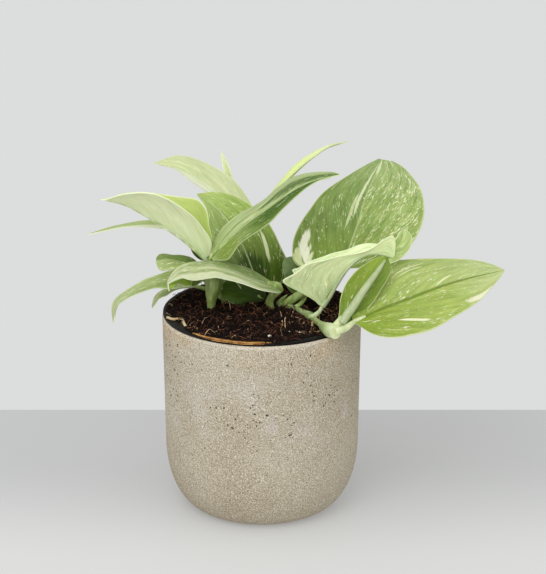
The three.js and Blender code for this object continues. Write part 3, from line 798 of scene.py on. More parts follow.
# places and sizes in mm, read from base to tip. petiole, spine: points; face: where the upper side looks;
# left, right: outline as (place along the leaf, half width), or widest half width and how fast it
# narrows to base and tip; leftLift, rightLift: degrees each half is folded up; back: how far the base lobes
# reach back past the stalk; fold: a part of the leaf that is folded over
leaves = [
    dict(node="leaf_back_left", slot="pale_leaf", look="backLeft", under="paleUnder",
         petiole=[(-9, 40, 149), (-10.5, 42, 158), (-9, 44, 167)],
         spine=[(-9, 44, 167), (-18, 54, 186), (-35, 60, 199), (-53, 66, 209), (-73, 70, 213)],
         face=[(0.5, -0.3, 0.8), (0.5, -0.3, 0.8), (0.3, -0.3, 0.9)],
         left=[(0, 1.2), (0.3, 4), (0.55, 5), (0.68, 5), (0.76, 3), (0.85, 0.8), (1, 0.2)],
         right=[(0, 1.5), (0.12, 9), (0.28, 13.4), (0.48, 17.2), (0.61, 16.6), (0.72, 15.8), (0.8, 14),
                (0.87, 11.5), (0.934, 6.3), (1, 0.2)],
         leftLift=(20, -15, -20), rightLift=(25, 20, 5)),
    dict(node="leaf_back_spear", slot="pale_leaf", look="palest", under="palest",
         petiole=[(-6.5, 40, 143), (-11, 60, 159), (-16, 78, 176)],
         spine=[(-16, 78, 176), (-20, 84, 190), (-24, 88, 203), (-28, 92, 215)],
         face=[(0, -1, 0)] * 3,
         left=(3, 0.7, 0.8), right=(3, 0.7, 0.8), leftLift=(40, 40, 30), rightLift=(40, 40, 30)),
    dict(node="leaf_back_right", slot="yellow_leaf", look="yellowPale", under="yellowPale",
         petiole=[(-7, 42, 156), (-6, 50, 163), (-2, 58, 174)],
         spine=[(-2, 58, 174), (7, 66, 190), (18, 74, 201), (30, 80, 211), (44, 87, 219), (58, 92, 222)],
         face=[(-0.9, 0.05, 0.3), (-0.76, -0.02, 0.57), (-0.3, 0.2, 0.9)],
         left=(11, 0.7, 0.8), right=(11, 0.7, 0.8), leftLift=(9, 9, 5), rightLift=(9, 9, 5)),
    dict(node="leaf_left_pale", slot="pale_leaf", look="insideBright", under="leftPaleUnder",
         petiole=[(-33.5, 10.5, 156), (-35.5, 10.5, 161), (-37, 9, 166)],
         spine=[(-37, 9, 166), (-51, 9, 179), (-69, 8, 192), (-88, 8, 203), (-104, 8, 207)],
         face=[(0.7, 0, 0.7), (0.5, 0, 0.85), (0.2, 0, 1)],
         left=[(0, 5), (0.06, 13), (0.122, 16.6), (0.192, 18.8), (0.254, 21.4), (0.344, 25), (0.478, 28),
               (0.592, 29.4), (0.66, 29), (0.724, 26.8), (0.816, 18.5), (0.922, 6), (1, 0.2)],
         right=[(0, 6), (0.06, 12.2), (0.158, 18), (0.212, 23), (0.25, 25.6), (0.318, 27), (0.366, 25.6),
                (0.426, 22.8), (0.564, 17.8), (0.7, 13.5), (0.806, 8.5), (0.92, 3), (1, 0.2)],
         leftLift=(65, 52, 35), rightLift=(75, 68, 40)),
    dict(node="leaf_left_strap", slot="mid_leaf", look="strap", under="strap",
         petiole=[(-4, 37, 140), (-20, 34, 158), (-38, 30, 174)],
         spine=[(-38, 30, 174), (-54, 30, 180), (-74, 31, 182), (-95, 32, 180), (-115, 33, 175)],
         face=[(0, 0, 1)] * 3,
         left=[(0, 5), (0.15, 8.5), (0.35, 9), (0.6, 6.4), (0.8, 3.8), (0.93, 1.4), (1, 0.2)],
         right=[(0, 2), (0.2, 5), (0.45, 6.4), (0.7, 4.6), (0.9, 1.8), (1, 0.2)],
         leftLift=(8, 8, 8), rightLift=(8, 8, 8)),
    dict(node="leaf_centre_broad", slot="mid_leaf", look="centreBroad", under="paleUnder",
         petiole=[(1, 26, 117), (0, 26, 131), (-3, 25, 141)],
         spine=[(-3, 25, 141), (-8, 27, 156), (-14, 30, 170), (-27, 38, 188), (-43, 45, 199)],
         face=[(0.3, -0.9, 0.4), (0.3, -0.85, 0.5), (0.3, -0.7, 0.7)], back=(4, 5),
         left=[(0, 3), (0.02, 12), (0.1, 17), (0.3, 25), (0.498, 30), (0.612, 26), (0.738, 16), (0.82, 8),
               (0.92, 2.5), (1, 0.2)],
         right=[(0, 4), (0.008, 20), (0.03, 24), (0.108, 25), (0.24, 24), (0.498, 23), (0.632, 20.8),
                (0.694, 19), (0.768, 16.2), (0.834, 13.2), (0.908, 9), (0.956, 5), (1, 0.3)],
         leftLift=(30, 30, 20), rightLift=(5, 5, -10)),
    dict(node="leaf_centre_pointed", slot="dark_leaf", look="centrePointed", under="brightUnder",
         petiole=[(-31.5, 5, 156), (-32, 3.5, 163), (-33, 1, 170)],
         spine=[(-33, 1, 170), (-17, -1, 187), (3, -2, 203), (26, -2, 219), (50, 0, 226)],
         face=[(-0.6, 0, 0.8), (-0.5, 0, 0.85), (-0.3, 0, 0.9)],
         left=[(0, 3), (0.064, 11), (0.16, 16), (0.28, 16), (0.392, 14), (0.488, 13), (0.586, 15),
               (0.7, 16), (0.794, 13.8), (0.9, 9.5), (0.964, 5.5), (1, 0.2)],
         right=[(0, 3), (0.05, 8), (0.092, 10.5), (0.22, 8.4), (0.364, 10.4), (0.472, 11.8), (0.564, 9.4),
                (0.69, 6), (0.8, 3.2), (0.9, 0.8), (1, 0.2)],
         leftLift=(20, 14, 12), rightLift=(-60, -30, -20)),
    dict(node="leaf_front", slot="mid_leaf", look="front", under="frontUnder",
         radii=(3, 2.9, 2.6, 2.6, 2.8, 3.3, 2.2),
         petiole=[(6, 3, 117), (6, 3, 131), (5, 2.5, 139), (8.5, 1.5, 145), (11.3, 0.3, 148.8)],
         spine=[(10, 0, 149), (-4, -6, 157), (-21, -10, 165.5), (-40, -11, 171), (-54, -12, 168),
                (-61, -15, 159), (-59.5, -18, 153)],
         face=[(0, -0.1, 1), (0, -0.1, 1), (-0.3, -0.1, 1), (-0.8, -0.3, 0.5), (-1, -0.2, -0.2)],
         left=[(0, 7), (0.06, 13), (0.22, 18.5), (0.4, 18), (0.52, 18.5), (0.62, 18), (0.74, 13.5),
               (0.86, 8), (0.95, 2.5), (1, 0.2)],
         right=[(0, 7), (0.04, 13), (0.1, 18), (0.288, 16), (0.386, 15.5), (0.52, 13.5), (0.6, 16),
                (0.7, 20), (0.79, 21.5), (0.88, 17), (0.95, 9), (1, 0.2)],
         leftLift=(0, 0, 0, -20, -50), rightLift=(0, 0, -15, -75, -75)),
    dict(node="leaf_right_fan", slot="pale_leaf", look="fanInside", under="fanUnder",
         rib=(1.3, 1.3, 1.2, 0.9, 0.5, 0.3),
         petiole=[(33, -20, 136), (37, -21, 140), (39, -21, 144)],
         spine=[(39, -21, 144), (44, -22, 153), (49, -21, 162), (56, -19, 171), (65, -14, 176),
                (75, -10, 176), (85, -7, 172)],
         face=[(-0.8, 0.2, 0.5), (-0.7, 0.2, 0.7), (0, 0.2, 1)],
         left=[(0, 0.8), (0.02, 9), (0.06, 22), (0.1, 30), (0.218, 26.5), (0.438, 15), (0.604, 8),
               (0.798, 7), (0.9, 6), (1, 0.2)],
         right=[(0, 0.8), (0.03, 8), (0.055, 16), (0.075, 29), (0.09, 34.5), (0.2, 30), (0.298, 26),
                (0.432, 14), (0.584, 4.5), (0.68, 3.5), (0.77, 5), (0.844, 11), (0.88, 15), (0.95, 9),
                (1, 0.2)],
         leftLift=(75, 75, 60), rightLift=(60, 60, 60),
         fold=dict(look="fanLobe", under="fanUnder",
                   spine=[(80, -8, 170), (85, -5, 176), (90, -3, 183), (92, -2, 190)],
                   face=[(0, -1, 0.3)] * 3,
                   left=[(0, 3), (0.3, 5), (0.6, 5.5), (0.85, 4), (1, 0.5)],
                   right=[(0, 3), (0.3, 7), (0.6, 8), (0.85, 6), (1, 1)],
                   leftLift=(30, 40, 50), rightLift=(-10, -10, -10))),
    dict(node="leaf_right_tall", slot="mid_leaf", look="tall", under="paleUnder",
         radii=(3, 2.8, 2.4, 1.9, 1.4),
         petiole=[(15, 6, 135), (22, 4, 141), (32, 5, 147), (43, 7, 153), (53, 9, 160)],
         spine=[(53, 9, 160), (59, 26, 172), (64, 41, 181), (68, 55, 191), (74, 69, 201), (81, 82, 212)],
         face=[(-0.1, -0.4, 0.9), (-0.1, -0.4, 0.9), (-0.1, -0.3, 0.9)], back=(8, 0),
         left=[(0, 4), (0.006, 26), (0.03, 33), (0.074, 35.8), (0.178, 37.8), (0.334, 36.8), (0.546, 31.8),
               (0.684, 25), (0.836, 15.5), (0.938, 8), (1, 2.5)],
         right=[(0, 6), (0.01, 13), (0.024, 18), (0.068, 27.2), (0.128, 34.4), (0.194, 38.4), (0.288, 42),
                (0.452, 43.8), (0.636, 41.5), (0.8, 35), (0.904, 25.8), (0.975, 15.5), (1, 8)],
         leftLift=(5, 5, 0), rightLift=(5, 5, 0)),
    dict(node="leaf_right_low", slot="yellow_leaf", look="low", under="paleUnder",
         radii=(2.6, 2.2, 1.6, 1.2),
         petiole=[(46.5, -52, 138), (53, -49, 139), (59, -42, 141)],
         spine=[(59, -42, 141), (73, -34, 145), (92, -22, 148), (125, -4, 154), (159, 12, 157)],
         face=[(-0.1, -0.5, 0.87), (-0.1, -0.45, 0.87), (-0.1, -0.4, 0.9)],
         left=[(0, 2.5), (0.05, 12), (0.1, 18), (0.2, 26), (0.3, 31.5), (0.4, 34), (0.45, 33.2),
               (0.566, 28.8), (0.688, 23.4), (0.8, 19), (0.874, 15.6), (0.956, 8), (1, 0.2)],
         right=[(0, 2.5), (0.02, 14.8), (0.076, 24.8), (0.154, 30.2), (0.318, 33.2), (0.514, 30.2),
                (0.718, 22.8), (0.844, 14), (0.938, 6.2), (1, 0.2)],
         leftLift=(10, 5, 0), rightLift=(5, 5, 0)),
    dict(node="leaf_right_folded", slot="yellow_leaf", look="folded", under="foldedUnder",
         radii=(2.6, 2.8, 2.8), rib=(2.9, 2.8, 2.6, 2.4, 2.1, 1.6, 0.8),
         petiole=[(43, -45, 138), (46, -45, 138.5), (48, -44, 139.5)],
         spine=[(49.9, -43, 140.5), (53.7, -39.8, 145.4), (58.9, -35.5, 151.3), (65.3, -29.3, 159.3),
                (72.7, -19.3, 165.9), (80.5, -7.5, 172.7)],
         face=[(-0.35, 0.9, 0)] * 3,
         left=[(0, 2.5), (0.036, 6.8), (0.156, 8.8), (0.304, 9.8), (0.454, 10.5), (0.624, 10), (0.778, 9.2),
               (0.918, 7.5), (1, 2)],
         right=[(0, 2.2), (0.106, 4.5), (0.186, 7.8), (0.3, 10.2), (0.426, 11.2), (0.558, 10.8),
                (0.742, 8.5), (0.916, 4.5), (1, 0.5)],
         leftLift=(0, -20, -20), rightLift=(25, 25, 20)),
    dict(node="leaf_left_low", slot="mid_leaf", look="leftLow", under="paleUnder",
         petiole=[(-31, 6.5, 149), (-35, 6, 151.5), (-39, 5, 153)],
         spine=[(-39, 5, 153), (-51, 4, 154), (-63, 2, 152.5), (-75, 0, 149), (-88, -2, 143),
                (-95, -3, 137), (-97, -4, 126)],
         face=[(0, -0.4, 0.9), (-0.2, -0.4, 0.9), (-0.8, -0.3, 0.4)],
         left=[(0, 2), (0.08, 7), (0.27, 8), (0.37, 5.6), (0.44, 2.6), (0.6, 2), (0.79, 0.8), (1, 0.2)],
         right=[(0, 2), (0.1, 6), (0.233, 10.5), (0.355, 8.6), (0.484, 8), (0.64, 7.2), (0.81, 6.6),
                (0.9, 4.5), (1, 0.2)],
         leftLift=(-5, -5, -10), rightLift=(0, 0, 0)),
    dict(node="leaf_left_blunt", slot="dark_leaf", look="leftBlunt", under="paleUnder",
         petiole=[(-28, 13, 144), (-35, 16, 151), (-42, 22, 156)],
         spine=[(-42, 22, 156), (-52, 24, 159), (-62, 26, 160), (-70, 27, 159)],
         face=[(0, -0.3, 0.9), (0, -0.3, 0.9), (-0.5, -0.3, 0.8)],
         left=[(0, 4), (0.25, 9), (0.51, 10.5), (0.8, 12), (0.93, 9), (1, 1.5)],
         right=[(0, 3), (0.282, 6.5), (0.648, 4.6), (0.85, 5.6), (0.95, 5), (1, 2)],
         leftLift=(0, 0, 0), rightLift=(0, 0, 0)),
    dict(node="leaf_left_hook", slot="mid_leaf", look="leftLow", under="paleUnder",
         petiole=[(-25, 13.5, 136.5), (-34, 17, 141), (-46, 21, 143)],
         spine=[(-46, 21, 143), (-58, 22, 141), (-68, 22, 136), (-73, 22, 127)],
         face=[(0, -0.3, 0.9), (-0.3, -0.3, 0.9), (-0.9, -0.3, 0.3)],
         left=[(0, 1.5), (0.398, 2.4), (0.568, 4.6), (0.768, 2.4), (1, 0.2)],
         right=[(0, 1.5), (0.476, 2), (0.788, 4), (0.93, 2.4), (1, 0.2)],
         leftLift=(-5, -5, -5), rightLift=(0, 0, 0)),
    dict(node="leaf_left_tip", slot="dark_leaf", look="shaded", under="shaded",
         petiole=[(-24, 16, 143), (-28, 20, 152), (-35, 22, 161)],
         spine=[(-35, 22, 161), (-40, 22, 166), (-44, 23, 172), (-46, 24, 179)],
         face=[(0.4, -0.9, 0.2)] * 3,
         left=(5, 0.6, 0.8), right=(5, 0.6, 0.8), leftLift=(10, 10, 10), rightLift=(10, 10, 10)),
    dict(node="leaf_shaded", slot="dark_leaf", look="shaded", under="shaded",
         petiole=[(1, 15, 117), (1, 15, 131), (-2, 14, 138)],
         spine=[(2, 14, 136), (-8, 13, 141), (-18, 12, 143.5), (-27, 13, 143)],
         face=[(0, -0.8, 0.6)] * 3,
         left=(11, 0.5, 0.5), right=(9, 0.5, 0.5), leftLift=(0, 0, 0), rightLift=(0, 0, 0)),
    dict(node="leaf_under_fan", slot="dark_leaf", look="shaded", under="shaded",
         petiole=[(22, -2, 135.5), (27, 4, 138.5), (29, 8, 142)],
         spine=[(29, 8, 142), (25, 9, 146), (20, 10, 150), (16, 10.5, 153)],
         face=[(0.3, -0.9, 0.2)] * 3,
         left=(6, 0.6, 0.6), right=(6, 0.6, 0.6), leftLift=(0, 0, 0), rightLift=(0, 0, 0)),
    dict(node="leaf_behind_fan", slot="mid_leaf", look="greyGreen", under="shaded",
         petiole=[(22, 24, 117), (22, 24, 131), (23, 24, 140)],
         spine=[(23, 24, 140), (23, 25, 146), (21, 26, 153), (15, 27, 160)],
         face=[(0.2, -0.9, 0.2)] * 3,
         left=(8, 0.6, 0.6), right=(8, 0.6, 0.6), leftLift=(0, 0, 0), rightLift=(0, 0, 0)),
]

# one look for each kind of surface. lit: how strongly light falls on it; size: length and half width in mm;
# left, right: tones from base to tip; flecks: how many on each half; marble: how strong the veins are;
# slant: how far they lean to the tip; rib: tone and width of the midrib; plain: no relief;
# marks: place across and along, size both ways, lean, tone and strength
looks = {
    "backLeft": dict(lit=1.1, size=(88, 17), left=[(214, 224, 182), (223, 230, 196), (212, 222, 176)],
        right=[(198, 210, 156), (206, 216, 165), (205, 216, 160)], flecks=(0, 0.25), marble=0.5,
        edge=(226, 232, 198)),
    "palest": dict(plain=True, size=(42, 3), left=[(186, 200, 140), (205, 216, 164), (214, 223, 176)],
        marble=0.2, edge=(228, 234, 202)),
    "yellowPale": dict(lit=0.75, plain=True, size=(80, 11),
        left=[(176, 196, 108), (200, 214, 136), (212, 222, 172)], marble=0.3, edge=(208, 220, 158)),
    "insideBright": dict(size=(80, 25), left=[(164, 184, 92), (184, 200, 116), (207, 218, 165)], marble=0.4,
        edge=(226, 233, 190)),
    "leftPaleUnder": dict(lit=0.76, size=(80, 29), left=[(200, 211, 166), (204, 213, 171), (204, 214, 168)],
        marble=0.35, edge=(226, 232, 200),
        marks=[(-0.1, 0.45, 0.22, 0.5, 0, (186, 200, 150), 0.5)]),
    "paleUnder": dict(size=(80, 25), left=[(166, 186, 116), (178, 196, 130), (192, 208, 148)], marble=0.4,
        edge=(228, 234, 204)),
    "strap": dict(size=(80, 7), left=[(206, 216, 172), (200, 210, 162), (178, 192, 140)],
        right=[(168, 186, 124), (160, 178, 114), (156, 172, 112)], marble=0.4, edge=(222, 228, 194),
        marks=[(-0.55, 0.35, 0.3, 0.4, 0, (220, 227, 190), 0.7)]),
    # painted shade together with the leaf's own green: the dark tones at the base and the dark mark across
    # the base stand for the shade on the lower part of this leaf
    "centreBroad": dict(lit=0.85, size=(76, 24), left=[(62, 86, 10), (124, 146, 76), (146, 166, 94)],
        right=[(74, 100, 16), (128, 152, 68), (154, 175, 96)], flecks=(0.2, 0.4), marble=0.8, slant=1.3,
        edge=(196, 208, 150), rib=((176, 190, 140), 0.6),
        marks=[(0.6, 0.3, 0.08, 0.07, 1.2, (226, 232, 188), 1),
               (-0.1, 0.14, 0.5, 0.17, 0, (42, 66, 4), 0.85)]),
    "centrePointed": dict(lit=1.15, size=(102, 15),
        left=[(178, 196, 132), (180, 197, 136), (152, 176, 108)],
        right=[(162, 180, 112), (108, 137, 50), (84, 114, 34)], flecks=(0.3, 0.1), marble=1.1, slant=0.9,
        edge=(192, 208, 148), rib=((176, 196, 136), 0.7),
        marks=[(0.5, 0.12, 0.45, 0.1, 0, (133, 156, 62), 0.95),
               (-0.32, 0.74, 0.2, 0.3, 0, (78, 108, 36), 0.85),
               (-0.88, 0.7, 0.22, 0.34, 0, (184, 202, 150), 0.6),
               (0.45, 0.66, 0.4, 0.3, 0, (70, 102, 24), 0.9)]),
    "front": dict(lit=1.3, size=(90, 15), left=[(150, 172, 100), (178, 196, 134), (210, 219, 172)],
        right=[(138, 160, 84), (156, 178, 106), (186, 202, 142)], flecks=(0.9, 0.8), marble=1.3, slant=0.9,
        edge=(230, 236, 200), rib=((206, 216, 168), 0.5),
        marks=[(-0.9, 0.6, 0.2, 0.4, 0, (232, 238, 198), 0.85),
               (-0.45, 0.35, 0.12, 0.25, 0.4, (220, 228, 176), 0.6),
               (0.1, 0.42, 0.3, 0.3, 0, (124, 148, 76), 0.6),
               (0.75, 0.86, 0.5, 0.14, 0, (222, 229, 184), 0.8)]),
    "brightUnder": dict(lit=0.75, size=(90, 15), left=[(112, 136, 48), (132, 154, 66), (150, 172, 84)],
        marble=0.4, edge=(214, 224, 170)),
    "frontUnder": dict(lit=0.58, size=(90, 15), left=[(118, 144, 48), (132, 158, 56), (140, 166, 64)],
        marble=0.3, edge=(214, 224, 170)),
    "fanInside": dict(lit=0.76, size=(66, 30), left=[(190, 204, 150), (194, 208, 156), (206, 218, 170)],
        flecks=(0.7, 0.7), marble=0.6, edge=(230, 238, 198)),
    "fanLobe": dict(lit=0.95, size=(22, 8), left=[(176, 196, 122), (178, 198, 124), (184, 202, 132)],
        flecks=(0.7, 0.7), marble=0.8, edge=(222, 230, 184)),
    "fanUnder": dict(lit=0.79, size=(66, 30), left=[(184, 198, 146), (188, 202, 150), (198, 211, 158)],
        flecks=(0.1, 0.35), marble=0.6, edge=(224, 232, 190)),
    "tall": dict(lit=1.12, size=(94, 38), left=[(124, 150, 56), (124, 150, 74), (146, 169, 102)],
        right=[(132, 158, 62), (148, 172, 92), (156, 178, 110)], flecks=(0.25, 0.85), marble=1, slant=1,
        edge=(206, 218, 150), rib=((186, 201, 140), 0.5),
        marks=[(-0.8, 0.15, 0.075, 0.1, 0, (252, 253, 226), 1),
               (-0.73, 0.07, 0.07, 0.05, 0.5, (252, 253, 226), 1),
               (-0.68, 0.04, 0.08, 0.03, 0.5, (240, 244, 200), 0.9),
               (-0.9, 0.05, 0.07, 0.05, 0, (232, 238, 184), 0.8),
               (-0.12, 0.72, 0.035, 0.24, 0, (224, 232, 188), 0.9),
               (-0.19, 0.5, 0.03, 0.16, 0, (214, 224, 172), 0.8),
               (0.02, 0.93, 0.06, 0.06, 0, (230, 236, 196), 0.9)]),
    "low": dict(lit=1.15, size=(115, 31), left=[(144, 168, 62), (172, 193, 106), (192, 210, 140)],
        right=[(140, 164, 50), (168, 190, 90), (198, 214, 144)], flecks=(0.45, 0.45), marble=0.7,
        edge=(216, 226, 164), rib=((104, 130, 14), 1.3),
        marks=[(0.64, 0.28, 0.14, 0.022, 0.55, (246, 248, 206), 1),
               (0.94, 0.77, 0.16, 0.07, 0.7, (244, 246, 208), 1),
               (-0.7, 0.48, 0.1, 0.014, -1, (238, 242, 190), 1),
               (-0.6, 0.46, 0.08, 0.012, -1, (238, 242, 190), 1),
               (-0.17, 0.62, 0.09, 0.014, -0.6, (238, 242, 190), 1)]),
    "folded": dict(size=(62, 16), left=[(120, 146, 60), (126, 150, 62), (150, 172, 84)], marble=0.4,
        edge=(206, 220, 150)),
    "foldedUnder": dict(lit=1.1, size=(62, 16), left=[(96, 122, 22), (112, 138, 38), (128, 154, 58)],
        right=[(112, 138, 38), (128, 152, 48), (150, 176, 66)], flecks=(0, 0.1), marble=0.6,
        edge=(196, 212, 140)),
    "leftLow": dict(lit=1.15, size=(71, 9), left=[(112, 136, 46), (152, 171, 102), (176, 192, 134)],
        right=[(118, 142, 54), (162, 179, 116), (196, 208, 158)], flecks=(0.3, 0.5), marble=0.7,
        edge=(212, 222, 172)),
    "leftBlunt": dict(size=(30, 11), left=[(132, 152, 84), (152, 170, 106), (166, 182, 122)],
        right=[(104, 128, 60), (120, 144, 74), (132, 154, 88)], flecks=(0.3, 0.2), marble=0.7,
        edge=(206, 216, 164)),
    "shaded": dict(size=(30, 8), left=[(48, 68, 8), (62, 86, 16), (76, 102, 26)], marble=0.9,
        edge=(96, 118, 58)),
    "greyGreen": dict(size=(25, 8), left=[(88, 110, 56), (112, 134, 82), (138, 158, 108)], marble=0.4,
        edge=(150, 168, 118)),
}


def readOutline(points, t):
    # a smooth outline through (place along the leaf, half width) points, with no overshoot
    steps = [(wb - wa) / (b - a) for (a, wa), (b, wb) in zip(points, points[1:])]
    i = 0
    while i < len(steps) - 1 and t > points[i + 1][0]:
        i += 1

    def slope(k):
        if k == 0 or k == len(steps):
            return steps[min(k, len(steps) - 1)]
        before, after = steps[k - 1], steps[k]
        return 2 * before * after / (before + after) if before * after > 0 else 0
    start, end = points[i], points[i + 1]
    span = end[0] - start[0]
    f = (t - start[0]) / span
    return ((2 * f ** 3 - 3 * f ** 2 + 1) * start[1] + (f ** 3 - 2 * f ** 2 + f) * span * slope(i)
            + (3 * f ** 2 - 2 * f ** 3) * end[1] + (f ** 3 - f ** 2) * span * slope(i + 1))


def halfWidth(shape, t):
    if isinstance(shape, list):
        return readOutline(shape, t)
    widest, base, tip = shape
    peak = base / (base + tip)
    return max(widest * t ** base * (1 - t) ** tip / (peak ** base * (1 - peak) ** tip), lerp(1.2, 0.15, t))


def upAt(leaf, t, ahead):
    up = along(leaf["face"], t)
    return (up - ahead * up.dot(ahead)).normalized()


def bladePoint(leaf, spine, t, across):
    middle = spine.at(t)
    ahead = spine.heading(t)
    up = upAt(leaf, t, ahead)
    side = ahead.cross(up)
    sign = -1 if across < 0 else 1
    half = "left" if across < 0 else "right"
    width = halfWidth(leaf[half], t)
    lift = math.radians(along(leaf[half + "Lift"], t)) * min(1, width / blade["foldWidth"])
    reach = abs(across)
    out = side * (sign * math.cos(lift)) + up * math.sin(lift)
    normal = up * math.cos(lift) - side * (sign * math.sin(lift))
    # base lobes reach back past the stalk
    back = leaf.get("back", (0, 0))[across >= 0] * reach * math.exp(-blade["lobeFade"] * t)
    back *= min(1, width / blade["lobeWidth"])
    point = middle + out * (width * reach) - ahead * back
    ripple = blade["ripple"] * reach ** 2 * math.sin(2 * math.pi * blade["waves"] * t + sign)
    bow = blade["bow"] * width * math.sin(math.pi * reach)
    groove = blade["groove"] * math.exp(-(width * reach / blade["grooveWidth"]) ** 2)
    groove *= min(1, width / blade["foldWidth"])
    return point + normal * ((ripple + bow) * math.sin(math.pi * t)) - up * groove


def spreadOut(f):
    # rows of the blade lie closer together at its base and tip
    return (1 - math.cos(math.pi * f)) / 2


def layBlade(leaf):
    clearSelection()
    bpy.ops.mesh.primitive_grid_add(x_subdivisions=blade["across"], y_subdivisions=blade["along"], size=2,
                                    calc_uvs=True)
    sheet = bpy.context.object
    spine = Route(leaf["spine"])
    for vertex in sheet.data.vertices:
        vertex.co = bladePoint(leaf, spine, spreadOut((vertex.co.y + 1) / 2), vertex.co.x) * mm
    for place in sheet.data.uv_layers[0].data:
        place.uv.y = spreadOut(place.uv.y)
    sheet.data.uv_layers[0].name = "bladeMap"
    return sheet


skins = {}


def bladeSkin(name):
    if name in skins:
        return skins[name]
    look = looks[name]
    lit = look.get("lit", 0.9)
    paint = Paint(name + "Skin", 0.48, 0.28, (0.15, 0.0015), lit)
    u, v, _ = paint.split(paint.add("ShaderNodeUVMap", uv_map="bladeMap"))
    across = paint.calc("MULTIPLY_ADD", u, 2, -1)
    reach = paint.calc("ABSOLUTE", across)
    half = paint.ramp(across, -0.02, 0.02)
    length, width = look["size"]
    # side veins run from the midrib towards the tip
    slant = look.get("slant", 0.7)
    vein = paint.calc("SUBTRACT", v, paint.times(reach, slant))
    stretch = math.hypot(1, length * slant / width)

    def veinGrain(longCell, narrowCell, detail, roughness=0.5):
        # a pattern with cells of this size in mm, long way along the veins
        place = paint.add("ShaderNodeCombineXYZ", {
            "X": paint.times(vein, length / narrowCell / stretch),
            "Y": paint.times(across, width * stretch / longCell),
            "Z": len(skins) * 7.3})
        return paint.grain(place, 1.0, detail, roughness)

    # tones from base to tip; where a look's base tones are darker, they are partly painted shade for the
    # shaded middle of the plant, besides the leaf's own colour
    def shade(tones):
        low, middle, high = tones
        return paint.coat(paint.between(v, 0.0, 0.5, low, middle), high, paint.ramp(v, 0.5, 1.0))
    colour = paint.blend(half, shade(look["left"]), shade(look.get("right", look["left"])))
    clouds = veinGrain(16, 3.2, 3.0, 0.6)
    lines = veinGrain(20, 0.8, 2.0)
    marble = look["marble"]
    pale = (1.3, 1.24, 1.34, 1)
    deep = (0.7, 0.75, 0.6, 1)
    for pattern, start, end, strength, wash in (
            (clouds, 0.5, 0.7, 1, pale), (clouds, 0.5, 0.3, 1, deep),
            (lines, 0.52, 0.7, 0.6, pale), (lines, 0.48, 0.3, 0.5, deep)):
        mask = paint.times(paint.ramp(pattern, start, end), strength * marble)
        colour = paint.blend(mask, colour, wash, "MULTIPLY")
    rough = paint.times(paint.calc("SUBTRACT", lines, 0.5), 2.4)
    for markAcross, markAlong, wide, tall, lean, hue, strength in look.get("marks", []):
        side = paint.calc("SUBTRACT", across, markAcross)
        ahead = paint.calc("SUBTRACT", paint.calc("SUBTRACT", v, markAlong),
                           paint.times(side, lean))
        far = paint.calc("ADD", paint.calc("POWER", paint.calc("DIVIDE", side, wide), 2),
                         paint.calc("POWER", paint.calc("DIVIDE", ahead, tall), 2))
        colour = paint.coat(colour, hue, paint.ramp(paint.calc("ADD", far, rough), 1.5, 0.6, 0, strength))
    # cream flecks run along the veins
    left, right = look.get("flecks", (0, 0))
    if left or right:
        amount = paint.calc("MULTIPLY_ADD", half, right - left, left)
        fleck = veinGrain(4.2, 0.75, 1.0)
        dots = veinGrain(1.7, 0.42, 1.0)
        crowd = paint.calc("MULTIPLY_ADD", veinGrain(18, 8, 2.0), 0.4, -0.2)
        cut = paint.calc("MULTIPLY_ADD", amount, -0.12, 0.72)
        for pattern, edge, hue, strength in ((dots, 0.05, (206, 218, 156), 0.7),
                                             (fleck, 0.035, (232, 238, 190), 0.95)):
            above = paint.calc("SUBTRACT", paint.calc("ADD", pattern, crowd), cut)
            colour = paint.coat(colour, hue, paint.ramp(above, 0.0, edge), strength)
    if "rib" in look:
        hue, ribWidth = look["rib"]
        off = paint.times(reach, width)
        colour = paint.coat(colour, hue, paint.ramp(off, ribWidth * 1.5, ribWidth * 0.5, 0, 0.8))
    colour = paint.coat(colour, look["edge"], paint.ramp(reach, 1 - 1.2 / width, 1 - 0.3 / width, 0, 0.75))
    if "plain" not in look:
        paint.relief(paint.calc("MULTIPLY_ADD", lines, 0.6, clouds), 0.3, 0.0005)
    skins[name] = paint.finish(colour)
    return skins[name]


def layRib(leaf):
    # the midrib stands out under the blade, thick at the stalk and thin at the tip
    spine = Route(leaf["spine"])
    radii = leaf.get("rib", stalk["rib"])
    points = []
    for i in range(stalk["ribPoints"]):
        t = stalk["ribEnd"] * i / (stalk["ribPoints"] - 1)
        drop = along(radii, t) * stalk["ribSink"] + blade["groove"]
        points.append(spine.at(t) - upAt(leaf, t, spine.heading(t)) * drop)
    return drawStalk("rib", points, radii, 8, 24)


def cutSheet(leaf):
    sheet = layBlade(leaf)
    edge = "edge" + leaf["look"]
    if edge not in skins:
        skins[edge] = Paint(edge, 0.5).finish(tone(*looks[leaf["look"]]["edge"]))
    wear(sheet, bladeSkin(leaf["look"]), bladeSkin(leaf["under"]), skins[edge])
    applyModifier(sheet, "finer", "SUBSURF", levels=1, render_levels=1)
    applyModifier(sheet, "body", "SOLIDIFY", thickness=blade["thickness"] * mm, offset=0,
                  material_offset=1, material_offset_rim=2)
    smooth(sheet, 50)
    return sheet


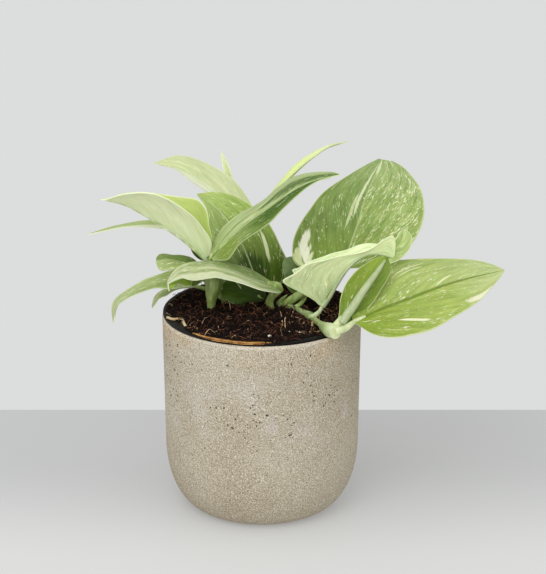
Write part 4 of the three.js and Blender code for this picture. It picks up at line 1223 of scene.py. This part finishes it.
def growLeaf(leaf):
    sheets = [cutSheet(leaf)]
    if "fold" in leaf:
        sheets.append(cutSheet(leaf["fold"]))
    end = Vector(leaf["spine"][0]).lerp(Vector(leaf["spine"][1]), 0.5)
    points = [Vector(p) for p in leaf["petiole"]] + [end]
    petiole = drawStalk("petiole", points, leaf.get("radii", stalk["radii"]), stalk["sides"], 20)
    stalkLook = {"pale_leaf": stalkPale, "yellow_leaf": nodeCream}.get(leaf["slot"], stalkGreen)
    wear(petiole, stalkLook)
    rib = layRib(leaf)
    wear(rib, stalkGrey if "rib" in leaf else stalkLook)
    piece = joinAll(leaf["node"].replace("_", ""), sheets + [petiole, rib])
    hand(piece, leaf["slot"], leaf["node"])


for leaf in leaves:
    growLeaf(leaf)
print("leaves grown")


# roots, bud and husk

rootTan = stalkPaint("rootTan", (186, 164, 118), (222, 206, 166), (236, 226, 196))
trims = {
    "pale_root": {"path": [(-61, -17, 134.8), (-57, -20, 134.5), (-52.5, -17, 133.6), (-50, -23, 132.6),
                           (-46.5, -33, 129)],
                  "radii": [0.9, 1, 1.1, 1.05, 0.8], "slot": "root", "paint": rootTan},
    "aerial_root": {"path": [(33, -21, 134), (32.5, -28, 134), (32, -35, 133.5), (30.5, -41, 133)],
                    "radii": [0.9, 0.7, 0.5], "slot": "root", "paint": rootTan},
    "young_bud": {"path": [(10, 11, 133), (12.5, 11.5, 136), (16.5, 14.5, 139)],
                  "radii": [1.5, 1.7, 1.1, 0.4]},
}
drawAll(trims, 10, 24)

husk = {"radius": 62.3, "height": 133.5, "from": 222, "to": 277, "ragged": (12, 10), "strands": 9,
        "points": 15, "thickness": (0.28, 0.45), "side": 0.5, "stack": 0.45}


def makeHusk():
    strands = []
    for i in range(husk["strands"]):
        start = husk["from"] + random.uniform(0, husk["ragged"][0])
        end = husk["to"] - random.uniform(0, husk["ragged"][1])
        path = []
        for k in range(husk["points"]):
            angle = math.radians(lerp(start, end, k / (husk["points"] - 1)))
            reach = husk["radius"] + (i % 3 - 1) * husk["side"]
            reach += 0.35 * noise.noise(Vector((i * 7, k * 0.5, 0)))
            height = husk["height"] + (i // 3) * husk["stack"]
            height += 0.4 * noise.noise(Vector((i * 3, k * 0.45, 4)))
            path.append(Vector((reach * math.cos(angle), reach * math.sin(angle), height)))
        strands.append((path, random.uniform(*husk["thickness"]), i % 2))
    piece = tubeMesh("huskStrip", strands, 6)
    wear(piece, mixPaint("huskGold", (150, 104, 52), (196, 152, 92), 260),
         mixPaint("huskBrown", (96, 62, 34), (150, 104, 60), 260))
    smooth(piece, 70)
    hand(piece, "husk", "husk_strip")


makeHusk()
print("roots, bud and husk laid")
